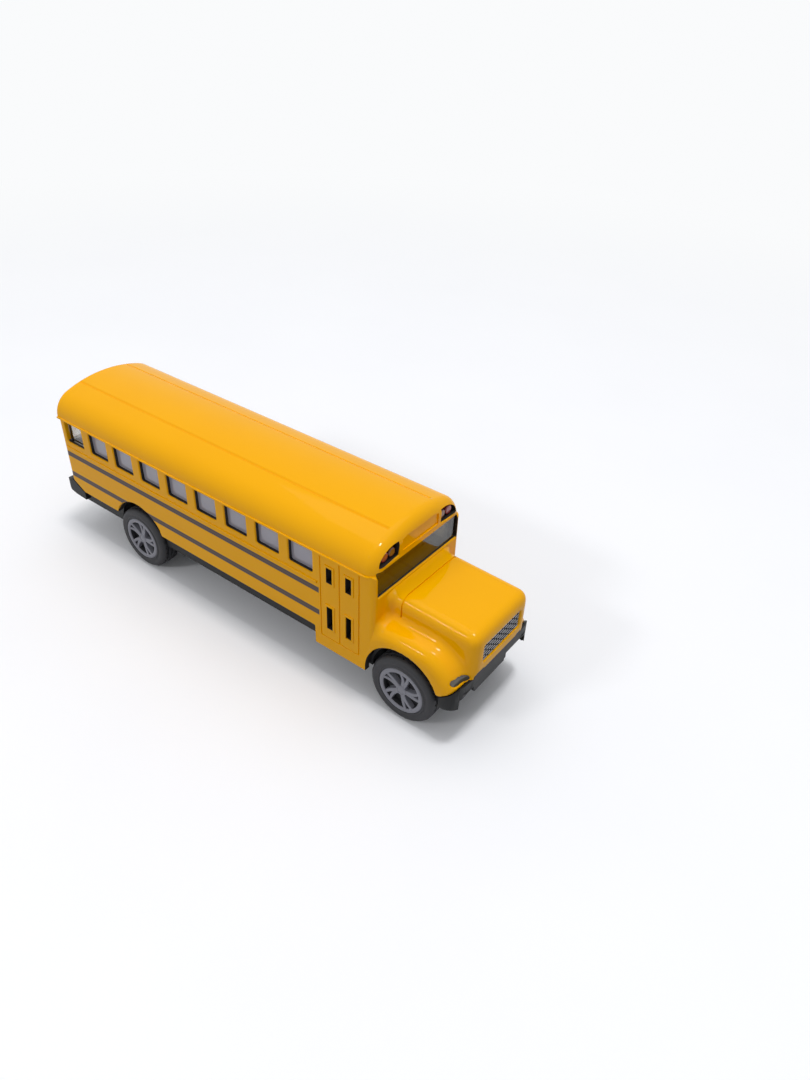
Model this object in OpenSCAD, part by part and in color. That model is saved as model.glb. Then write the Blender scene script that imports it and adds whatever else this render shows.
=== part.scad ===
// Toy school bus: a die-cast body on a plastic base, rolling wheels and a wind-back motor.
// Millimetres. +X is the front, +Y the left side, +Z is up.
// The origin lies on the floor, under the middle of the bus.

/* [Overall] */
// Overall length, from the rear bumper to the nose
overall_l = 131; // [127:0.5:138]
// Width across the side panels
body_w = 30.6; // [29:0.1:34]
// Wall of the casting
wall = 1.5; // [1.2:0.1:1.8]

/* [Wheels] */
// Rear axle, measured from the rear end
rear_axle_in = 30.8; // [29:0.1:33]
// Front axle, measured from the front end
front_axle_in = 14.7; // [14.3:0.1:15.3]
// Tyre radius, which is also the axle height
tyre_r = 8.4; // [8:0.1:8.7]
// Tyre width
tyre_w = 5.8; // [5:0.1:6.2]
// Rim radius, where the tyre seats
rim_r = 5.8; // [5.2:0.1:6.4]
// Axle radius
axle_r = 1; // [0.8:0.05:1.2]
// Inset of the wheel face from the side panel
wheel_inset = 0.2; // [0:0.05:0.6]
// Pairs of spokes in one rim
spoke_pairs = 5; // [4:1:6]

/* [Cabin] */
// Rear wall, measured from the rear end
rear_wall_in = 3.8; // [3.4:0.1:4.6]
// Cab front, measured from the front end
nose_l = 22; // [21.3:0.1:23.3]
// Height of the skirt's lower edge
skirt_z = 13.6; // [13:0.1:14.4]
// Height of the skirt under the door
door_skirt_z = 8.6; // [7.5:0.1:10]
// Height of the roof's crown
roof_z = 43; // [42.4:0.1:45]
// Eave, as a share of the height from the skirt to the crown
eave_share = 0.7245; // [0.715:0.0005:0.74]
// Radius of the roof's crown
crown_r = 34; // [28:0.5:44]
// Radius of the roof's shoulders
shoulder_r = 6.2; // [5:0.1:7]
// Overhang of the eave past the side panel
eave_lip = 0.55; // [0.3:0.05:0.8]
// Radius of the roof's front edge
roof_front_r = 3; // [2:0.1:4]

/* [Windows] */
// Side windows on each side
window_count = 9; // [6:1:9]
// Width of a side window, as a share of the step from window to window
window_share = 0.697; // [0.6:0.001:0.76]
// Window sill, as a share of the height from the skirt to the crown
sill_share = 0.5034; // [0.46:0.0002:0.54]
// Radius of a window's lower corners
window_r = 1; // [0.5:0.1:1.6]
// First window, measured from the rear wall
window_in = 2; // [1.6:0.1:3]
// Gap between the last side window and the door
window_door_gap = 2.3; // [2:0.1:3]
// Windshield's lower edge, as a share of the height from the skirt to the crown
windshield_low_share = 0.5442; // [0.538:0.0002:0.56]
// Height of the windshield, as a share of that height
windshield_share = 0.2211; // [0.19:0.0001:0.225]
// Width of the windshield pillar
pillar_w = 1; // [0.8:0.1:1.6]
// Thickness of the clear glazing
glazing_t = 1; // [0.7:0.1:1.3]

/* [Door] */
// Width of the folding door
door_w = 10.7; // [9.5:0.1:11.5]
// Front edge of the door, measured from the cab front
door_in = 4.1; // [3.4:0.1:5]
// Height of the door's lower edge
door_z = 12.2; // [11:0.1:13]
// Width of a door slot
slot_w = 1.6; // [1.2:0.1:2]
// Rim round a door slot
slot_rim = 0.9; // [0.5:0.1:1.1]
// Height that the slot rim stands proud
slot_proud = 0.25; // [0.1:0.05:0.4]

/* [Nose] */
// Width of the hood, as a share of the body's
hood_w_share = 0.6863; // [0.64:0.0001:0.72]
// Hood at the cowl, as a share of the height from the skirt to the crown
hood_share = 0.5238; // [0.48:0.0002:0.53]
// Fall of the hood from the cowl to the front
hood_fall = 0.8; // [0:0.1:1.5]
// Radius of the hood's edges
hood_r = 3.6; // [2.5:0.1:4.2]
// Height of the front panel's lower edge
front_low_z = 18; // [17.4:0.1:18.6]
// Top of the fender, as a share of the height from the skirt to the crown
fender_share = 0.3095; // [0.29:0.0005:0.335]
// Length of the fender ahead of the axle
fender_l = 13.4; // [12.8:0.1:14]
// Height of the fender's lower edge
fender_low_z = 13.4; // [13:0.1:14]
// Radius of the fender's outer edge
fender_r = 3; // [2:0.1:3.6]
// Radius of the wheel arches
arch_r = 9.6; // [9.5:0.1:10]
// Height of the arch centre over the axle
arch_lift = 1.5; // [1:0.1:1.8]

/* [Trim] */
// Width of the grille, as a share of the hood's
grille_w_share = 0.6762; // [0.58:0.0002:0.71]
// Height of the grille, as a share of the front panel's
grille_share = 0.418; // [0.38:0.001:0.45]
// Lower edge of the grille, as a share of the front panel's height
grille_low_share = 0.19; // [0.17:0.001:0.22]
// Rows of bars in the grille
grille_rows = 6; // [4:1:7]
// Length of a headlamp, as a share of the fender's width
headlamp_share = 1; // [0.75:0.01:1.05]
// Height of a headlamp
headlamp_h = 1.6; // [1.3:0.1:2]
// Radius of a warning lamp, as a share of its opening's mean size
lamp_share = 0.2039; // [0.15:0.0001:0.22]
// Radius of a tail lamp
tail_lamp_r = 1.6; // [1.2:0.1:2]

/* [Base] */
// Height of the underside of the base
base_z = 9.6; // [9:0.1:10]
// Thickness of the base
base_t = 1.2; // [1:0.1:1.6]
// Height of the rear bumper
rear_bumper_h = 4.8; // [4:0.1:5.4]
// Height of the front bumper's bar
front_bumper_h = 3.3; // [2.8:0.1:3.6]
// Length of the front bumper's drop-down ends
bumper_end_w = 6; // [4.5:0.1:7]
// Radius of a chassis screw
screw_r = 0.85; // [0.7:0.05:1]

/* [Motor] */
// Module of the gears
gear_m = 0.5; // [0.45:0.01:0.52]
// Teeth on a pinion
pinion_teeth = 10; // [10:1:10]
// Teeth on a wheel gear
wheel_teeth = 20; // [20:1:20]
// Width of a gear
gear_w = 2; // [1.5:0.1:2.2]
// Half the width of the motor case
motor_half = 6; // [5.6:0.1:6.6]
// Wall of the motor case
motor_wall = 0.9; // [0.7:0.1:1.1]
// Radius of a gear pin
gear_pin_r = 0.7; // [0.6:0.05:0.8]
// Turns of the mainspring
spring_turns = 5; // [3:1:6]

/* [Hidden] */
// Overrun of every cut past the faces that it opens
cut = 1;
// Gap between pieces of the same body
seat_gap = 0.05;
// Gap between the base and the casting
base_gap = 0.2;
// Gap round a piece that turns
turn_gap = 0.4;
// Radial clearance of a shaft in its bearing
bearing_gap = 0.06;
// Radial clearance of a piece pressed on its shaft
press_gap = 0.01;

// Stations along the bus
rear_x = -overall_l / 2;
front_x = overall_l / 2;
rear_wall_x = rear_x + rear_wall_in;
cab_x = front_x - nose_l;
nose_x = front_x;
rear_axle_x = rear_x + rear_axle_in;
front_axle_x = front_x - front_axle_in;
rear_arch_shift = 0.7;
axle_z = tyre_r;
arch_z = axle_z + arch_lift;

// Heights
rise = roof_z - skirt_z;
eave_z = skirt_z + rise * eave_share;
sill_z = skirt_z + rise * sill_share;
windshield_z = skirt_z + rise * windshield_low_share;
windshield_h = rise * windshield_share;
hood_z = skirt_z + rise * hood_share;
fender_h = skirt_z + rise * fender_share - axle_z;

// Half widths
side_y = body_w / 2;
hood_half = side_y * hood_w_share;
fender_w = side_y - hood_half;
inner_y = side_y - wall;
wheel_out_y = side_y - wheel_inset;
wheel_in_y = wheel_out_y - tyre_w;
well_y = wheel_in_y - turn_gap;

// Door and side windows along the bus
door_x = cab_x - door_in - door_w;
window_x = rear_wall_x + window_in;
window_pitch = (door_x - window_door_gap - window_x) / (window_count - 1 + window_share);
window_w = window_pitch * window_share;

// Roof grooves
groove_side_share = 0.4771;
groove_y = side_y * groove_side_share;
groove_w = 0.6;
groove_depth = 0.35;
rear_roof_lip = 0.4;
rear_roof_r = 1;
roof_plan_r = 2.5;

// Header over the windshield
header_bar = 0.8;
header_z = windshield_z + windshield_h + header_bar;
header_in_share = 0.4837;
header_in_y = side_y * header_in_share;
header_side_share = 1.7;
header_out_y = side_y - pillar_w * header_side_share;
header_h_share = 0.4321;
header_h = (roof_z - eave_z) * header_h_share;
header_w = header_out_y - header_in_y;
lamp_r = sqrt(header_w * header_h) * lamp_share;
lamp_lift_share = 1.342;
header_lamp_z = header_z + lamp_r * lamp_lift_share;
amber_place_share = 0.2339;
red_place_share = 0.621;

// Door slots, as shares of the door's height and width
slot_low_share = 0.135;
door_h = eave_z - door_z;
slot_low_h_share = 0.2731;
slot_high_h_share = 0.1762;
slot_low_h = door_h * slot_low_h_share;
slot_high_h = door_h * slot_high_h_share;
slot_places_shares = [0.25, 0.75];
engraving = 0.35;

// Rear wall
rear_door_share = 0.3922;
rear_door_w = body_w * rear_door_share;
rear_window_share = 0.3922;
rear_side_window_w = side_y * rear_window_share;
rear_window_h = eave_z - sill_z;
tail_lamp_side_share = 2.4;
tail_lamp_y = side_y - tail_lamp_r * tail_lamp_side_share;
tail_lamp_z = skirt_z + rear_bumper_h + tail_lamp_r;
tail_lamp_t = 0.8;

// Front lamps and grille
front_panel_h = hood_z - front_low_z;
grille_w = 2 * hood_half * grille_w_share;
grille_h = front_panel_h * grille_share;
grille_z = front_low_z + front_panel_h * grille_low_share;
headlamp_l = fender_w * headlamp_share;
cowl_l = 3.4;
grille_depth = 1.3;
grille_plate_t = 0.5;
grille_bar_share = 0.55;
grille_columns = 8;
grille_post_w = 0.4;
headlamp_side_share = 0.4;
headlamp_y = wheel_out_y - headlamp_l / 2 - headlamp_h * headlamp_side_share;
headlamp_z = fender_low_z + fender_r + headlamp_h / 2;
headlamp_back_share = 0.68;
headlamp_back_x = front_axle_x + fender_l * headlamp_back_share;
lens_recess = 0.3;
fender_power = 3;
fender_points = 24;

// Screws and posts
post_r = 2;
post_reach_share = 0.8;
post_top_z = sill_z - 2 * wall;
rear_post_x = rear_wall_x + wall + post_r * post_reach_share;
front_post_share = 4;
front_post_x = cab_x + cowl_l + post_r * front_post_share;
screw_head_share = 2;
screw_head_r = screw_r * screw_head_share;
screw_head_h = 0.7;
screw_bite = 5;
recess_share = 0.7;
recess_w_share = 0.15;
post_z = base_z + base_t + seat_gap;

// Base
base_y = inner_y - base_gap;
liner_t = 0.6;
lug_w = 2;
lug_r = 2 * axle_r + seat_gap;
rear_bumper_rise = 2.4;
rear_bumper_z = skirt_z + rear_bumper_rise - rear_bumper_h;
rear_corner_z = skirt_z + rear_bumper_rise + base_gap;
bumper_wrap = 4.6;
wrap_x = rear_wall_x + bumper_wrap;
rear_bumper_r = 2.4;
bumper_soft = 1;
bumper_r = 4.4;
bumper_set = 0.5;
bumper_x = nose_x - bumper_set;
front_bumper_z = front_low_z - base_gap - front_bumper_h;
bumper_end_lift = 0.6;
bumper_end_z = base_z + bumper_end_lift;
bumper_step_w = 2;
bumper_step_h = 1.6;
bumper_neck_y = 6;

// Motor gears
pinion_r = gear_m * pinion_teeth / 2;
wheel_r = gear_m * wheel_teeth / 2;
addendum_share = 0.85;
dedendum_share = 1.2;
addendum = gear_m * addendum_share;
dedendum = gear_m * dedendum_share;
centre_gap = 0.05;
centre_d = pinion_r + wheel_r + centre_gap;
train_lift = 25;
idler_x = rear_axle_x + centre_d * cos(train_lift);
idler_z = axle_z + centre_d * sin(train_lift);
spring_x = idler_x + centre_d;
spring_z = idler_z;
drive_y = 1.4;
second_y = -drive_y - gear_w / 2;
hub_share = 1.7;
hub_r = gear_pin_r * hub_share;
case_in_r = wheel_r + addendum + turn_gap;
case_rear_x = rear_axle_x - pinion_r - addendum - turn_gap;
case_front_x = spring_x + case_in_r;
case_low_z = axle_z - pinion_r - addendum - turn_gap;
case_high_z = idler_z + case_in_r;
flange = 1.4;
spring_t = 0.16;

// Points of an arc about a centre, both ends included
function arc(c, r, from, to, steps) = [
    for (i = [0 : steps])
        let (a = from + (to - from) * i / steps) [c[0] + r * cos(a), c[1] + r * sin(a)]
];

// Outline of the arched roof above z0, as [y, z]
function roof_outline(half, z0, crown_z, big_r, small_r) =
    let (
        low = crown_z - big_r,
        reach = half - small_r,
        centre_z = low + sqrt(pow(big_r - small_r, 2) - reach * reach),
        lean = atan2(centre_z - low, reach),
        start = z0 > centre_z ? asin((z0 - centre_z) / small_r) : 0
    )
    concat(
        z0 < centre_z ? [[half, z0]] : [],
        arc([reach, centre_z], small_r, start, lean, 8),
        arc([0, low], big_r, lean, 180 - lean, 16),
        arc([-reach, centre_z], small_r, 180 - lean, 180 - start, 8),
        z0 < centre_z ? [[-half, z0]] : []
    );

// A rounded wheel-arch panel above a flat lower edge, as [x, z] about the axle
function fender_outline(l, h, low) =
    let (start = asin(pow(low / h, fender_power / 2)))
    [for (i = [0 : fender_points])
        let (a = start + (180 - 2 * start) * i / fender_points)
        [sign(cos(a)) * l * pow(abs(cos(a)), 2 / fender_power), h * pow(sin(a), 2 / fender_power)]];

// Height of a roof groove's floor under the crown
function groove_floor() = roof_z - crown_r + sqrt(crown_r * crown_r - groove_y * groove_y) - groove_depth;

// Outline of a gear with straight-sided teeth
tooth_root_share = 0.3;
tooth_mid_share = 0.21;
tooth_tip_share = 0.1;
function gear_outline(teeth) =
    let (r = gear_m * teeth / 2, step = 360 / teeth)
    [for (i = [0 : teeth - 1], k = [-1, 0, 1, 2, 3, 4])
        let (
            side = k < 2 ? -1 : 1,
            level = side < 0 ? k + 1 : 4 - k,
            share = [tooth_root_share, tooth_mid_share, tooth_tip_share][level],
            rr = r + [-dedendum, 0, addendum][level],
            a = step * (i + side * share)
        ) [rr * cos(a), rr * sin(a)]];

// Lays an extrusion of a [y, z] outline along +X
module along_x(x0, x1) {
    translate([x0, 0, 0]) rotate([90, 0, 90]) linear_extrude(x1 - x0) children();
}

// Lays an extrusion of an [x, z] outline along Y, from y0 to y1
module along_y(y0, y1) {
    translate([0, y1, 0]) rotate([90, 0, 0]) linear_extrude(y1 - y0) children();
}

// A round bar along Y
module bar_y(x, z, r, y0, y1) {
    translate([x, y0, z]) rotate([-90, 0, 0]) cylinder(r = r, h = y1 - y0, $fn = 64);
}

// A round bar along X
module bar_x(y, z, r, x0, x1) {
    translate([x0, y, z]) rotate([0, 90, 0]) cylinder(r = r, h = x1 - x0, $fn = 64);
}

// A block between two corners
module block(low, high) {
    translate(low) cube(high - low);
}

// Both sides of the bus
module both_sides() {
    children();
    mirror([0, 1, 0]) children();
}

// A rectangle whose lower corners are round, as [x, z]
module window_shape(w, h) {
    polygon(concat(
        arc([window_r, window_r], window_r, 180, 270, 6),
        arc([w - window_r, window_r], window_r, 270, 360, 6),
        [[w, h], [0, h]]
    ));
}

// The roof from its rear lip to the cab front, rounded at its ends
module roof_block() {
    top = roof_z + cut;
    intersection() {
        along_x(rear_wall_x - rear_roof_lip, cab_x)
            polygon(roof_outline(side_y + eave_lip, eave_z, roof_z, crown_r, shoulder_r));
        along_y(-side_y - cut, side_y + cut) polygon(concat(
            [[rear_wall_x - rear_roof_lip, eave_z - cut], [cab_x, eave_z - cut]],
            arc([cab_x - roof_front_r, roof_z - roof_front_r], roof_front_r, 0, 90, 8),
            arc([rear_wall_x - rear_roof_lip + rear_roof_r, roof_z - rear_roof_r], rear_roof_r, 90, 180, 4)
        ));
        linear_extrude(top) polygon(concat(
            [[rear_wall_x - rear_roof_lip, -side_y - eave_lip]],
            arc([cab_x - roof_plan_r, -side_y - eave_lip + roof_plan_r], roof_plan_r, -90, 0, 6),
            arc([cab_x - roof_plan_r, side_y + eave_lip - roof_plan_r], roof_plan_r, 0, 90, 6),
            [[rear_wall_x - rear_roof_lip, side_y + eave_lip]]
        ));
    }
}

// A fender over one front wheel, on the +Y side
module fender() {
    inner = hood_half - wall;
    half_share = sqrt(1 / 2);
    rings = [[fender_r, 0], [fender_r * (1 - half_share), fender_r * (1 - half_share)], [0, fender_r]];
    translate([front_axle_x, 0, axle_z]) hull() {
        for (ring = rings)
            along_y(inner, side_y - ring[0])
                polygon(fender_outline(fender_l - ring[1], fender_h - ring[1], fender_low_z - axle_z));
    }
}

// The hood and the front panel as one rounded block
module hood_block() {
    front_z = hood_z - hood_fall;
    hull() both_sides() {
        translate([nose_x - hood_r, hood_half - hood_r, front_z - hood_r]) sphere(hood_r, $fn = 32);
        translate([nose_x - hood_r, hood_half - hood_r, front_low_z])
            cylinder(r = hood_r, h = hood_r, $fn = 32);
        translate([cab_x - wall, hood_half - hood_r, hood_z - hood_r]) rotate([0, 90, 0])
            cylinder(r = hood_r, h = wall, $fn = 32);
        block([cab_x - wall, hood_half - hood_r, front_low_z], [cab_x, hood_half, front_low_z + wall]);
    }
}

// The openings of one side, cut through the wall on the +Y side
module side_windows() {
    for (i = [0 : window_count - 1])
        translate([window_x + window_pitch * i, 0, sill_z])
            along_y(inner_y - cut, side_y + cut) window_shape(window_w, eave_z - sill_z);
}

// Places of the four door slots, as [x, z, height]
slot_places = [
    for (share = slot_places_shares, level = [0, 1])
        [
            door_x + door_w * share - slot_w / 2,
            level == 0 ? door_z + door_h * slot_low_share : eave_z - slot_high_h - 3 * slot_rim,
            level == 0 ? slot_low_h : slot_high_h
        ]
];

// Raised rims of the door slots, on the right side
module slot_rims() {
    for (p = slot_places)
        block([p[0] - slot_rim, -side_y - slot_proud, p[1] - slot_rim],
            [p[0] + slot_w + slot_rim, -side_y + wall / 2, p[1] + p[2] + slot_rim]);
}

// Openings of the door slots and the engraved outline of its two leaves
module door_cuts() {
    for (p = slot_places)
        block([p[0], -side_y - cut, p[1]], [p[0] + slot_w, -inner_y + cut, p[1] + p[2]]);
    for (x = [door_x, door_x + door_w / 2, door_x + door_w])
        block([x - engraving / 2, -side_y - cut, door_z], [x + engraving / 2, -side_y + engraving, eave_z]);
    block([door_x, -side_y - cut, door_z],
        [door_x + door_w, -side_y + engraving, door_z + engraving]);
}

// Driver's window on the left side, across from the door
module driver_window() {
    translate([door_x, 0, sill_z]) along_y(inner_y - cut, side_y + cut)
        window_shape(door_w, eave_z - sill_z);
}

// The windshield and the two corner openings of the header
module front_openings() {
    block([cab_x - wall - cut, -side_y + pillar_w, windshield_z],
        [cab_x + cut, side_y - pillar_w, windshield_z + windshield_h]);
    both_sides() along_x(cab_x - wall - cut, cab_x + cut) polygon(concat(
        [[header_in_y, header_z], [header_out_y, header_z]],
        [for (i = [1 : 8])
            let (a = 90 * i / 8) [header_in_y + header_w * cos(a), header_z + header_h * sin(a)]]
    ));
}

// Rear windows and the engraved outline of the rear door
module rear_cuts() {
    x0 = rear_wall_x - cut;
    half = rear_door_w / 2;
    block([x0, -half + wall, sill_z], [rear_wall_x + wall + cut, half - wall, sill_z + rear_window_h]);
    both_sides() {
        block([x0, half + wall, sill_z],
            [rear_wall_x + wall + cut, half + wall + rear_side_window_w, sill_z + rear_window_h]);
        block([x0, half - engraving / 2, skirt_z + rear_bumper_h],
            [rear_wall_x + engraving, half + engraving / 2, eave_z]);
        bar_x(tail_lamp_y, tail_lamp_z, tail_lamp_r + seat_gap, x0, rear_wall_x + tail_lamp_t / 2);
    }
}

// A headlamp's outline pushed through the fender, on the +Y side
module headlamp_prism(gap) {
    r = headlamp_h / 2 + gap;
    reach = (headlamp_l - headlamp_h) / 2;
    translate([0, headlamp_y, headlamp_z])
        along_x(headlamp_back_x - gap, front_x) polygon(concat(
            arc([reach, 0], r, -90, 90, 8),
            arc([-reach, 0], r, 90, 270, 8)
        ));
}

// Hollow inside of the cabin and under the hood
module body_hollow() {
    along_x(rear_wall_x + wall, cab_x - wall) polygon(
        concat(
            roof_outline(inner_y, eave_z, roof_z - wall, crown_r - wall, shoulder_r - wall),
            [[-inner_y, 0], [inner_y, 0]]
        ));
    block([cab_x - wall - cut, -well_y - seat_gap, 0],
        [nose_x - grille_depth - 2 * wall, well_y + seat_gap, hood_z - hood_fall - wall]);
}

// Wheel arch on the +Y side, open downwards
module arch(x, y0, r) {
    bar_y(x, arch_z, r, y0, side_y + cut);
    block([x - r, y0, 0], [x + r, side_y + cut, arch_z]);
}

// Post that takes a chassis screw
module screw_post(x, top_z) {
    difference() {
        translate([x, 0, post_z]) cylinder(r = post_r, h = top_z - post_z, $fn = 48);
        translate([x, 0, post_z - cut]) cylinder(r = screw_r + seat_gap, h = screw_bite + 2 * cut, $fn = 32);
    }
}

module body_shell() {
    color("#f2ab00") {
        difference() {
            union() {
                block([rear_wall_x, -side_y, skirt_z], [cab_x, side_y, eave_z + cut / 2]);
                roof_block();
                block([door_x - door_in / 2, -side_y, door_skirt_z],
                    [cab_x, side_y, skirt_z + wall]);
                slot_rims();
                hood_block();
                both_sides() fender();
            }
            body_hollow();
            both_sides() {
                arch(front_axle_x, well_y, arch_r);
                arch(rear_axle_x + rear_arch_shift, inner_y - cut, arch_r);
                side_windows();
                headlamp_prism(seat_gap);
                translate([0, groove_y, 0]) block([rear_wall_x - cut, -groove_w / 2, groove_floor()],
                    [cab_x - 2 * roof_front_r, groove_w / 2, roof_z + cut]);
            }
            driver_window();
            door_cuts();
            front_openings();
            rear_cuts();
            under_rear_corner(0);
            block([nose_x - grille_depth, -grille_w / 2, grille_z],
                [front_x + cut, grille_w / 2, grille_z + grille_h]);
            block([cab_x + cowl_l - engraving / 2, -hood_half, hood_z - engraving],
                [cab_x + cowl_l + engraving / 2, hood_half, hood_z + cut]);
        }
        screw_post(rear_post_x, post_top_z);
        screw_post(front_post_x, hood_z - hood_fall - wall / 2);
    }
}

// Clear canopy that backs every window, open at the bottom
module glazing_insert() {
    out = wall + seat_gap;
    in = out + glazing_t;
    low = sill_z - 2 * glazing_t;
    color("#b8b6c4", 0.5) difference() {
        along_x(rear_wall_x + out, cab_x - out) polygon(
            concat(roof_outline(side_y - out, eave_z, roof_z - out, crown_r - out, shoulder_r - out),
                [[-side_y + out, low], [side_y - out, low]]));
        along_x(rear_wall_x + in, cab_x - in) polygon(
            concat(roof_outline(side_y - in, eave_z, roof_z - in, crown_r - in, shoulder_r - in),
                [[-side_y + in, low - cut], [side_y - in, low - cut]]));
    }
}

// Staggered bars on a backing plate, set into the front panel
module grille_insert() {
    w = grille_w - 2 * seat_gap;
    h = grille_h - 2 * seat_gap;
    row = h / grille_rows;
    column = w / grille_columns;
    back_x = nose_x - grille_depth;
    bar_depth = grille_depth - grille_plate_t - lens_recess;
    color("#8f9095") translate([back_x, -w / 2, grille_z + seat_gap]) {
        cube([grille_plate_t, w, h]);
        for (i = [0 : grille_rows - 1]) {
            translate([0, 0, row * (i + (1 - grille_bar_share) / 2)])
                cube([grille_plate_t + bar_depth, w, row * grille_bar_share]);
            for (k = [1 : grille_columns - 1])
                translate([0, column * (k - (i % 2) / 2), row * i])
                    cube([grille_plate_t + bar_depth / 2, grille_post_w, row]);
        }
    }
}

module headlamp_lenses() {
    color("#8a8a8c") both_sides() intersection() {
        translate([-lens_recess, 0, 0]) fender();
        headlamp_prism(0);
    }
}

// Lamps on the header glazing, one pair of a colour
module header_lamps(y) {
    both_sides() bar_x(y, header_lamp_z, lamp_r, cab_x - wall - seat_gap, cab_x - wall / 2);
}

module red_warning_lamps() {
    color("#7a2430") header_lamps(header_in_y + header_w * red_place_share);
}

module amber_warning_lamps() {
    color("#2a2026") header_lamps(header_in_y + header_w * amber_place_share);
}

module tail_lamps() {
    color("#a3141c") both_sides()
        bar_x(tail_lamp_y, tail_lamp_z, tail_lamp_r,
            rear_wall_x - tail_lamp_t / 2, rear_wall_x + tail_lamp_t / 2);
}

// Half-round liner over a wheel on the +Y side, closed on its inner side
module wheel_liner(x) {
    r = arch_r - base_gap;
    difference() {
        bar_y(x, arch_z, r, well_y - liner_t, base_y);
        bar_y(x, arch_z, r - liner_t, well_y, base_y + cut);
        block([x - arch_r - cut, 0, 0], [x + arch_r + cut, side_y, base_z]);
    }
}

// Outline of the rear bumper, as [x, y], drawn in by an inset
module rear_bumper_shape(front, inset) {
    r = rear_bumper_r - inset;
    polygon(concat(
        arc([rear_x + rear_bumper_r, rear_bumper_r - side_y], r, 180, 270, 8),
        [[front, inset - side_y], [front, side_y - inset]],
        arc([rear_x + rear_bumper_r, side_y - rear_bumper_r], r, 90, 180, 8)
    ));
}

// Block of the rear bumper with its upper and lower edges bevelled
module rear_bumper_block() {
    hull() for (inset = [0, bumper_soft])
        translate([0, 0, rear_bumper_z + bumper_soft - inset])
            linear_extrude(rear_bumper_h - 2 * (bumper_soft - inset)) rear_bumper_shape(wrap_x, inset);
}

// What lies under the casting's cut-off rear corners, less a gap
module under_rear_corner(gap) {
    along_y(-side_y - cut, side_y + cut) polygon([
        [rear_x - cut, 0], [wrap_x, 0], [wrap_x, skirt_z - gap],
        [rear_wall_x, rear_corner_z - gap], [rear_x - cut, rear_corner_z - gap]
    ]);
}

// Outline of the front bumper, as [x, y]
module front_bumper_shape(back) {
    polygon(concat(
        arc([bumper_x - bumper_r, bumper_r - side_y], bumper_r, 270, 360, 6),
        arc([bumper_x - bumper_r, side_y - bumper_r], bumper_r, 0, 90, 6),
        [[back, side_y], [back, -side_y]]
    ));
}

// Both bumpers
module bumpers() {
    bar_y1 = hood_half - wall - base_gap;
    wall_end_x = rear_post_x - post_r - seat_gap;
    bar_back_x = front_axle_x + arch_r;
    difference() {
        intersection() {
            rear_bumper_block();
            under_rear_corner(base_gap);
        }
        block([wall_end_x, wall - side_y, 0], [wrap_x + cut, side_y - wall, roof_z]);
    }
    block([rear_wall_x, -base_y, base_z], [wall_end_x, base_y, rear_bumper_z + base_t]);
    intersection() {
        translate([0, 0, front_bumper_z]) linear_extrude(front_bumper_h)
            front_bumper_shape(nose_x - hood_r);
        block([0, -bar_y1, 0], [front_x, bar_y1, roof_z]);
    }
    translate([0, 0, bumper_end_z]) difference() {
        union() {
            linear_extrude(fender_low_z - base_gap - bumper_end_z) front_bumper_shape(bar_back_x);
            intersection() {
                linear_extrude(front_bumper_z + front_bumper_h / 2 - bumper_end_z)
                    front_bumper_shape(bar_back_x);
                block([front_axle_x + fender_l + base_gap, -side_y, 0], [front_x, side_y, roof_z]);
            }
        }
        block([nose_x - hood_r / 2, bumper_end_w - side_y, -cut],
            [front_x + cut, side_y - bumper_end_w, front_bumper_z - bumper_end_z]);
        block([nose_x - hood_r / 2, bumper_step_w - side_y, -cut],
            [front_x + cut, side_y - bumper_step_w, bumper_step_h]);
    }
    block([nose_x - hood_r, -bumper_neck_y, base_z],
        [nose_x - hood_r / 2, bumper_neck_y, front_bumper_z + base_t]);
}

// Bearing lug under the base for the front axle, on the +Y side
module axle_lug() {
    bar_y(front_axle_x, axle_z, lug_r, well_y - liner_t - lug_w, well_y);
    block([front_axle_x - lug_r, well_y - liner_t - lug_w, axle_z],
        [front_axle_x + lug_r, well_y, base_z + base_t]);
}

module chassis_base() {
    well_r = arch_r - base_gap;
    color("#1d1d1f") difference() {
        union() {
            block([rear_wall_x, -base_y, base_z], [nose_x - hood_r, base_y, base_z + base_t]);
            bumpers();
            both_sides() {
                for (x = [front_axle_x, rear_axle_x])
                    wheel_liner(x);
                axle_lug();
                block([rear_wall_x + wall + base_gap, base_y - base_t, base_z],
                    [cab_x - wall - base_gap, base_y, skirt_z + 2 * base_t]);
            }
        }
        both_sides() for (x = [front_axle_x, rear_axle_x]) {
            block([x - well_r + liner_t, well_y, 0], [x + well_r - liner_t, side_y + cut, arch_z]);
            bar_y(x, arch_z, well_r - liner_t, well_y, base_y + cut);
        }
        bar_y(front_axle_x, axle_z, axle_r + bearing_gap, -side_y, side_y);
        block([case_rear_x - motor_wall - base_gap, -motor_half - base_gap, 0],
            [case_front_x + motor_wall + base_gap, motor_half + base_gap, roof_z]);
        for (x = [rear_post_x, front_post_x]) {
            translate([x, 0, 0]) cylinder(r = screw_r + base_gap, h = roof_z, $fn = 32);
            translate([x, 0, 0]) cylinder(r = screw_head_r + seat_gap, h = base_z + screw_head_h, $fn = 32);
        }
    }
}

// Screws with a cross recess in the head
module chassis_screws() {
    reach = screw_head_r * recess_share;
    half = screw_head_r * recess_w_share;
    color("#8b8d90") for (x = [rear_post_x, front_post_x]) translate([x, 0, base_z]) {
        difference() {
            union() {
                cylinder(r = screw_head_r, h = screw_head_h, $fn = 32);
                cylinder(r = screw_r, h = base_t + screw_bite, $fn = 32);
            }
            for (turn = [0, 90]) rotate([0, 0, turn])
                block([-reach, -half, -cut], [reach, half, screw_head_h / 2]);
        }
    }
}

// Axle that carries two wheels
module axle(x) {
    reach = wheel_out_y - tyre_w / 3;
    color("#9a9ca0") bar_y(x, axle_z, axle_r, -reach, reach);
}

module front_axle() {
    axle(front_axle_x);
}

module rear_axle() {
    axle(rear_axle_x);
}

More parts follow.
